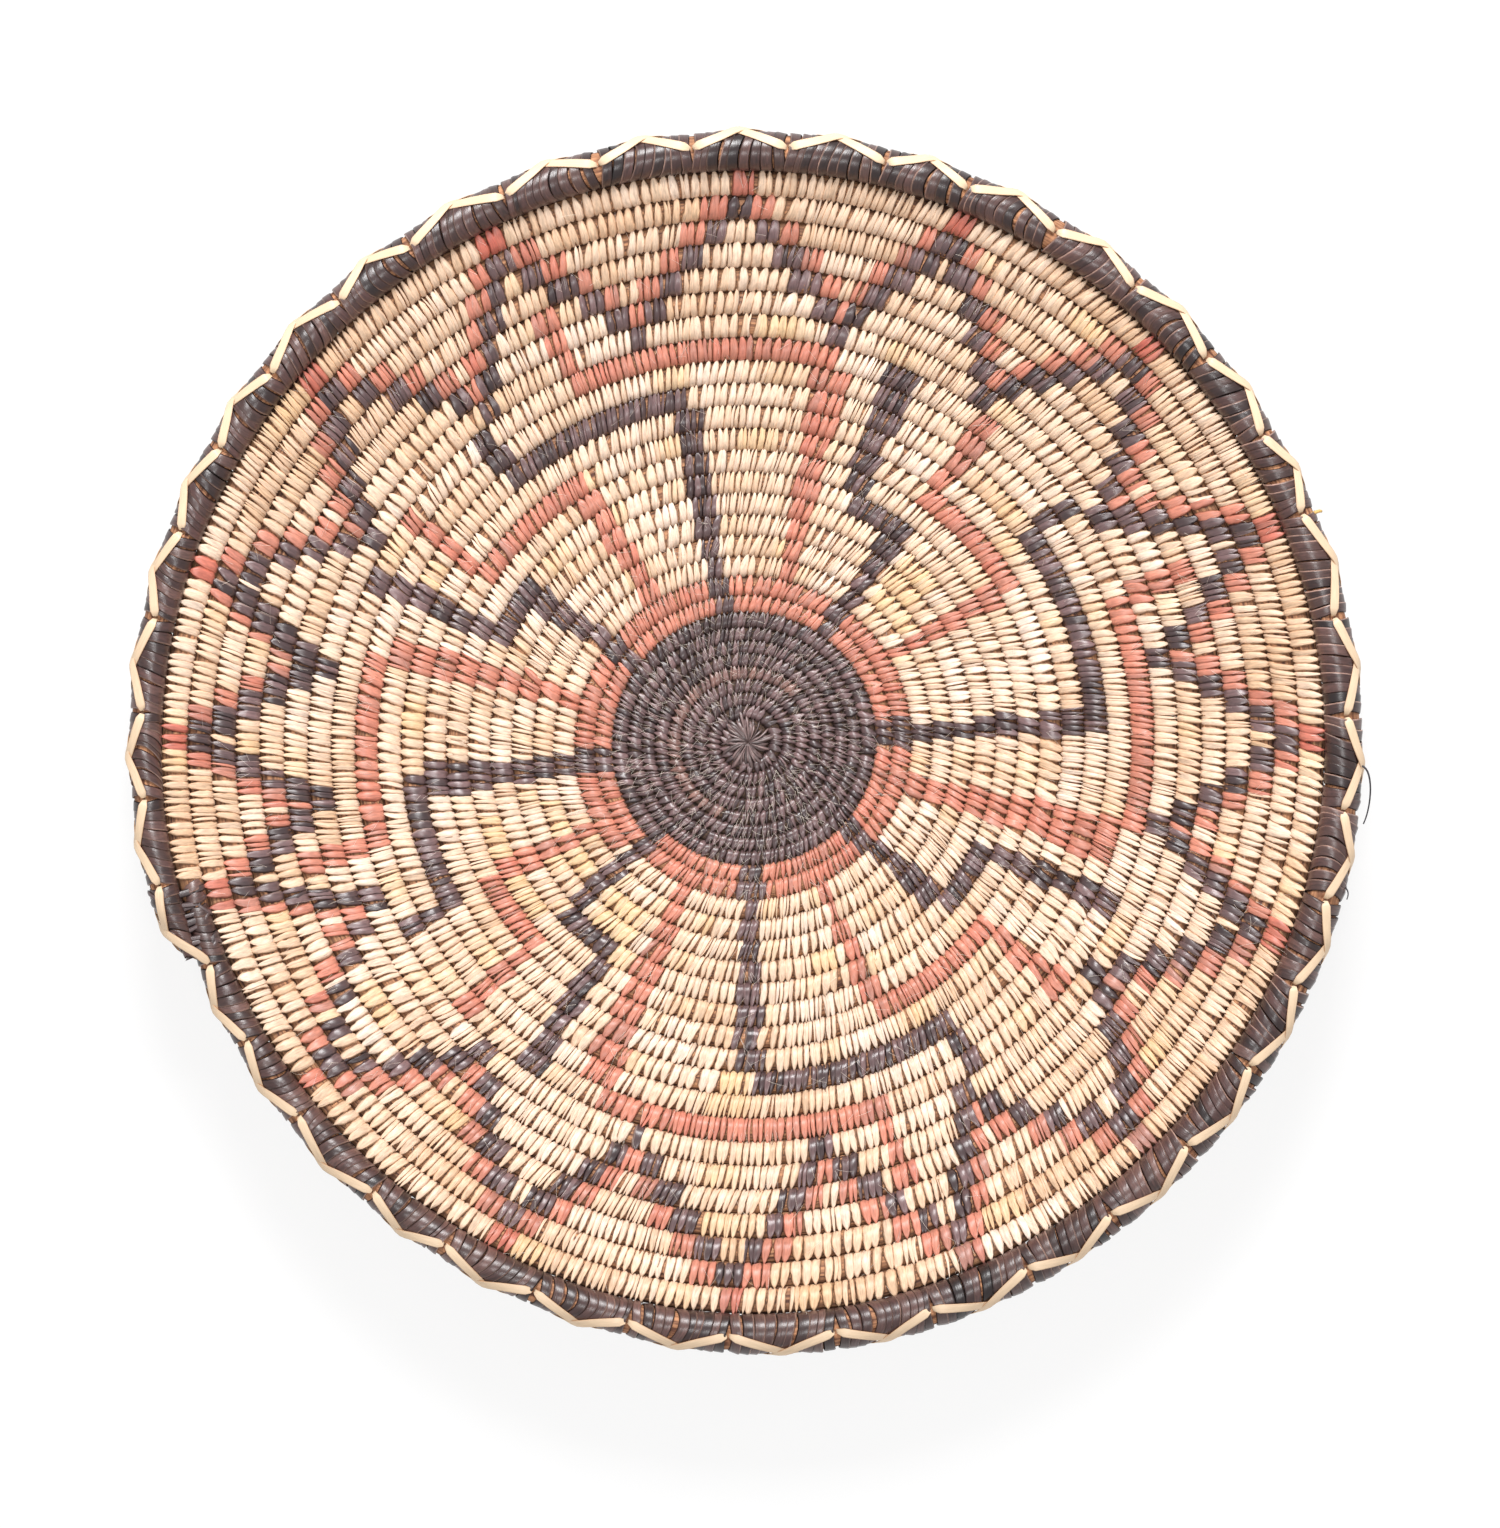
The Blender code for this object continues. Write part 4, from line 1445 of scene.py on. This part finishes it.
@dataclass(frozen=True)
class Lacing:
    """A pale strip that winds once round the rim in each scallop."""

    path: RimPath
    side: Side
    name: str
    node: str
    rise: float
    width: float = 0.0029
    threaded: float = 0.0014
    thickness: float = 0.00045
    proud: float = 0.00045
    cleared: float = 0.0004
    sunk: float = 0.0007
    crossing: float = math.radians(20)
    rise_spread: float = 0.26
    flatness: float = 0.32
    flat_until: float = 0.72
    flat_fade: float = 0.22
    narrow_share: float = 0.14
    levels: tuple = (-0.62, 0.0, 0.62)
    samples: int = 17
    kernel: tuple = (0.18, 0.64, 0.18)
    section: tuple = (
        (-1, -0.3), (-0.94, 0.4), (-0.78, 0.68), (0, 0.76), (0.78, 0.68), (0.94, 0.4), (1, -0.3), (0, -0.5),
    )
    colour: tuple = (222, 194, 163)
    edge_colour: tuple = (180, 134, 98)
    edge_from: float = 0.9
    least_edge: float = 0.2
    fibre_scale: float = 180

    def host(self, degrees: float) -> tuple:
        """What the strip goes round.

        Args:
            degrees: path angle.

        Returns:
            Centre and radius of the rim there, and past its last notch of the rim with its start beside it.
        """
        path, dish = self.path, self.path.dish
        last = path.notches[-1]
        wound = np.float64(dish.turns(degrees))
        centre, radius = dish.centre(wound), float(dish.strand(wound))
        if degrees < last:
            return centre, radius
        share = float(ease(ramp(degrees, last, path.notches[0] + 360)))
        inner, own = dish.centre(wound - 1), float(dish.strand(wound - 1))
        out = dish.outward(degrees)
        settled = float(ease(ramp(degrees, path.last - 1.5, path.notches[0] + 360)))
        outer = (centre + out * radius) * (1 - settled) + (inner + out * own) * settled
        middle = centre * (1 - share) + inner * share
        return middle, float(np.linalg.norm(outer - middle)) + self.cleared * min(1.0, 4 * share)

    def stretch(self, start: float, end: float) -> list:
        """The strip from one notch to the next.

        Args:
            start: path angle of the notch that it leaves.
            end: path angle of the notch that it goes to.

        Returns:
            A place, a normal and a width for each sample.
        """
        path, rings, hole = self.path, [], math.acos(self.path.hole_share)
        for sample in range(self.samples):
            share = (sample + 0.25) / (self.samples - 0.5)
            degrees = start + (end - start) * share
            centre, radius = self.host(degrees)
            beside = abs(2 * share - 1)
            forward = share if self.side is Side.FRONT else 1 - share
            section = self.crossing - (self.crossing + hole) * (2 * forward - 1)
            if forward < 0.5:
                section = math.acos(path.hole_share + (math.cos(self.crossing) - path.hole_share) * 2 * forward)
            flat = self.flatness * min(1, max(0, (self.flat_until - forward) / self.flat_fade))
            facing = section + flat * (math.pi / 2 - section)
            rise = self.rise * math.exp(-((beside / self.rise_spread) ** 2))
            sink = self.sunk * max(0, beside - 1 + self.narrow_share) / self.narrow_share
            far = radius + float(path.bulge(degrees, section)) + self.proud + rise - sink
            out = path.dish.outward(degrees)
            normal = out * math.cos(facing) + np.array([0, 0, math.sin(facing)])
            full = self.threaded + (self.width - self.threaded) * min(1, (1 - beside) / self.narrow_share)
            rings.append((path.round_to(degrees, section, np.float64(far), centre), normal, full))
        return rings

    def threading(self, notch: float) -> list:
        """Places of the strip inside the bundle, where it passes through a notch.

        Args:
            notch: its path angle.

        Returns:
            A place, a normal and a width for each sample.
        """
        path, out = self.path, self.path.dish.outward(notch)
        radius = float(path.radius(notch))
        middle = path.centre(notch) + out * (radius * path.hole_share)
        along = np.cross((0, 0, 1), out)
        return [
            (middle + np.array([0, 0, level * radius * self.side.value]), -along, self.threaded)
            for level in self.levels
        ]

    def build(self) -> list:
        """Makes the strip through every notch.

        Returns:
            The one piece, which stands for the plain strip.
        """
        first, *others = self.path.notches
        rings = self.threading(first)
        for start, end in zip((first, *others), (*others, first + 360)):
            rings += self.stretch(start, end)
            rings += self.threading(first if end > self.path.last else end)
        places, normals, widths = (np.array(column) for column in zip(*rings))
        for axis in range(3):
            normals[1:-1, axis] = np.convolve(normals[:, axis], self.kernel, "valid")
            places[1:-1, axis] = np.convolve(places[:, axis], self.kernel, "valid")
        tangent = unit_length(np.gradient(places, axis=0))
        wide = unit_length(np.cross(tangent, normals))
        across, high = np.array(self.section).T
        points = places[:, None] + wide[:, None] * (across * widths[:, None] / 2)[..., None]
        points = points + np.cross(wide, tangent)[:, None] * (high * self.thickness / 2)[:, None]
        piece = new_tube(self.name, points, "pale_lace", LACE_PALM)
        length = np.cumsum(np.linalg.norm(np.diff(places, axis=0, prepend=places[:1]), axis=1))
        tint = blend(linear(self.colour), self.edge_colour, ramp(np.abs(across), self.edge_from, 1)[:, None])
        edge = np.maximum(1 - np.abs(across), self.least_edge)
        paint(piece, points.shape[:2], tint, edge, across * 0.5, length[:, None] * self.fibre_scale)
        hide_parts(self.node)
        return [piece]


def fibre_rings(line: np.ndarray, thick: np.ndarray, sides: int) -> np.ndarray:
    """Rings round one line or more.

    Args:
        line: points along each fibre.
        thick: its radius at each point.
        sides: points in each ring.

    Returns:
        The rings' points.
    """
    tangent = unit_length(np.gradient(line, axis=-2))
    first = unit_length(np.cross(tangent, (0.31, 0.22, 0.92)))
    second = np.cross(tangent, first)
    turn = (np.arange(sides) * TAU / sides)[:, None]
    ring = first[..., None, :] * np.cos(turn) + second[..., None, :] * np.sin(turn)
    return line[..., None, :] + ring * thick[:, None, None]


@dataclass(frozen=True)
class LooseEnd:
    """A broken stem or fibre at the rim, through places in metres along, out and up from the rim's middle."""

    name: str
    slot: str
    finish: HairFinish
    degrees: float
    radius: tuple
    steps: int
    places: tuple

    def line(self, path: RimPath) -> np.ndarray:
        """A smooth line of so many points through the places.

        Args:
            path: the rim.

        Returns:
            The points.
        """
        out = path.dish.outward(self.degrees)
        ways = np.array([(-out[1], out[0], 0), out, (0, 0, 1)])
        given = path.centre(self.degrees) + np.array(self.places) @ ways
        share, wanted = np.linspace(0, 1, len(given)), np.linspace(0, 1, self.steps)
        power = min(3, len(given) - 1)
        return np.stack([np.polyval(np.polyfit(share, row, power), wanted) for row in given.T], axis=-1)

    def build(self, path: RimPath) -> bpy.types.Object:
        """Makes the end as a tapered round fibre."""
        rings = fibre_rings(self.line(path), np.linspace(*self.radius, self.steps), 6)
        return new_tube(self.name, rings, self.slot, self.finish)


LOOSE_ENDS = (
    LooseEnd("stray_fibre", "dark_binding", DARK_FIBRE, 358.0, (0.00036, 0.00022), 16, (
        (0, 0.0046, 0.0022), (-0.0016, 0.0074, 0.0026), (-0.0060, 0.0089, 0.0016),
        (-0.0126, 0.0086, -0.0004), (-0.0178, 0.0074, -0.0020),
    )),
    LooseEnd("short_stray_fibre", "dark_binding", DARK_FIBRE, 346.6, (0.00030, 0.00018), 9, (
        (0, 0.0040, 0.0016), (-0.0014, 0.0070, 0.0012), (-0.0042, 0.0076, 0.0002),
    )),
    LooseEnd("broken_stem", "tan_bundle", BROKEN_STEM, 382.0, (0.00060, 0.00048), 6, (
        (0.0016, 0.0020, 0.0030), (0.0018, 0.0058, 0.0020), (0.0014, 0.0072, 0.0010),
    )),
)


@dataclass(frozen=True)
class LooseFibres:
    """Frayed hairs on the strips, and the few loose ends on the rim."""

    dish: Dish
    path: RimPath
    pattern: Pattern
    hairs: int = 3000
    sides: int = 3
    steps: int = 6
    first_turn: float = -3.4
    turns: float = 27.3
    natural_share: float = 0.35
    hair_radius: float = 0.000045
    length: tuple = (0.0035, 0.0090)
    stand: tuple = (0.0001, 0.0011)
    above: float = 0.00035
    out_power: float = 0.8
    turn_vary: float = 0.55
    bend_vary: float = 0.25
    profile: tuple = (1.08, 0.72)

    def hair_lines(self, draws: np.random.Generator) -> np.ndarray:
        """Lines of the frayed hairs, lying on the stitches with their ends standing off a little.

        Args:
            draws: where they lie and how they bend.

        Returns:
            The points along each hair.
        """
        dish, each = self.dish, (self.hairs, 1)
        out_share = draws.uniform(0, 1, self.hairs * 3) ** self.out_power
        palm = self.pattern.colours(dish.loops - (self.first_turn + self.turns * out_share))
        kept = (palm != Palm.NATURAL) | (draws.uniform(0, 1, len(palm)) < self.natural_share)
        out_share = out_share[kept][: self.hairs, None]
        here = self.first_turn + self.turns * out_share
        length = draws.uniform(*self.length, each) * (0.6 + 0.4 * out_share) / self.steps
        share = np.linspace(0, 1, self.steps)
        bend = draws.normal(0, self.bend_vary, each) * share
        direction = draws.normal(0, self.turn_vary, each) + bend
        half = dish.pitch(here) / 2
        sideways = draws.uniform(-0.5, 0.5, each) * half + np.cumsum(np.cos(direction), axis=1) * length
        forward = np.cumsum(np.sin(direction), axis=1) * length
        place = here + forward / (TAU * dish.on_dish(dish.coil_reach(here))[0])
        out, up = dish.axes(place)
        nearest = np.abs((sideways / half + 1) % 2 - 1)
        crown, fall = self.profile
        high = dish.strand(here) * np.sqrt(np.clip(crown - nearest**2 * fall, 0.1, 2)) + self.above
        high = high + draws.uniform(*self.stand, each) * share**1.5
        return dish.centre(place) + out * sideways[..., None] + up * high[..., None]

    def build(self) -> list:
        """Makes the hairs and the loose ends.

        Returns:
            The pieces.
        """
        lines = self.hair_lines(np.random.default_rng(SEED + 3))
        points = fibre_rings(lines, self.hair_radius * np.linspace(1, 0.5, self.steps), self.sides).reshape(-1, 3)
        faces = copied_faces(tube_faces(self.steps, self.sides), self.hairs, self.steps * self.sides)
        hairs = new_piece("frayed_hairs", points, faces, "sewn_grass", FRAYED_HAIR)
        return [hairs, *(end.build(self.path) for end in LOOSE_ENDS)]


@dataclass(frozen=True)
class Studio:
    """Plain pale floor, soft light from above and behind, and the camera straight over the basket."""

    floor_size: float = 6.0
    key_power: float = 27.0
    key_size: float = 0.55
    key_tilt: float = 45.0
    fill_power: float = 6.5
    fill_size: float = 0.32
    fill_tilt: float = 12.0
    light_distance: float = 1.5
    sky: float = 0.55
    camera_place: tuple = (0.0006, -0.0068, 1.945)
    lens: float = 145.7
    sensor: float = 36.0

    def build(self) -> None:
        """Sets up the floor, the light and the camera."""
        self.floor()
        self.light("key_light", self.key_power, self.key_size, self.key_tilt, 0.0)
        self.light("fill_light", self.fill_power, self.fill_size, self.fill_tilt, 180.0)
        self.world()
        self.camera()
        bpy.context.scene.view_settings.view_transform = "Standard"

    def floor(self) -> None:
        """A plain floor under the basket."""
        bpy.ops.object.select_all(action="DESELECT")
        bpy.ops.mesh.primitive_plane_add(size=self.floor_size)
        floor = bpy.context.object
        floor.name = "floor"
        floor.data.materials.append(PaperFinish("floor_paper").material())

    def light(self, name: str, power: float, size: float, tilt: float, bearing: float) -> None:
        """Adds a square soft light aimed at the basket.

        Args:
            name: its name.
            power: its power in watts.
            size: its side.
            tilt: its angle from straight above, in degrees.
            bearing: 0 for the side that the picture's top shows, 180 for its bottom.
        """
        lamp = bpy.data.lights.new(name, "AREA")
        lamp.energy = power
        lamp.size = size
        holder = bpy.data.objects.new(name, lamp)
        bpy.context.scene.collection.objects.link(holder)
        lean, turn = math.radians(tilt), math.radians(bearing)
        place = np.array([math.sin(lean) * math.sin(turn), math.sin(lean) * math.cos(turn), math.cos(lean)])
        holder.location = place * self.light_distance
        holder.rotation_euler = (-holder.location).to_track_quat("-Z", "Y").to_euler()

    def world(self) -> None:
        """An even pale surround, white where the camera sees it."""
        world = bpy.data.worlds.new("surround")
        bpy.context.scene.world = world
        world.use_nodes = True
        nodes = Nodes(world.node_tree)
        seen = nodes.add("ShaderNodeLightPath")["Is Camera Ray"]
        level = nodes.add("ShaderNodeMapRange", {"Value": seen, "To Min": self.sky})["Result"]
        nodes.join(world.node_tree.nodes["Background"], {"Strength": level, "Color": (1, 1, 1, 1)})

    def camera(self) -> None:
        """Looks straight down, with the picture's top towards +Y."""
        data = bpy.data.cameras.new("camera")
        data.lens = self.lens
        data.sensor_width = self.sensor
        holder = bpy.data.objects.new("camera", data)
        bpy.context.scene.collection.objects.link(holder)
        holder.location = self.camera_place
        bpy.context.scene.camera = holder


def main() -> None:
    """Builds every sub-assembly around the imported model."""
    logging.basicConfig(level=logging.INFO, format="%(name)s: %(message)s")
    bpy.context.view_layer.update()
    dish = Dish()
    path = RimPath(dish)
    pattern = Pattern(dish)
    parts = (
        StartKnot(dish),
        Foundation(dish),
        Sewing(dish, pattern),
        RimGrass(path),
        RimWraps(path),
        EndStitches(path),
        Lacing(path, Side.FRONT, "lace_strip_under", "lacing_under", 0.0),
        Lacing(path, Side.BACK, "lace_strip_over", "lacing_over", 0.0006),
        LooseFibres(dish, path, pattern),
    )
    for part in parts:
        for piece in part.build():
            LOG.info("piece %s: %d faces", piece.name, len(piece.data.polygons))
    Studio().build()


if __name__ == "__main__":
    main()
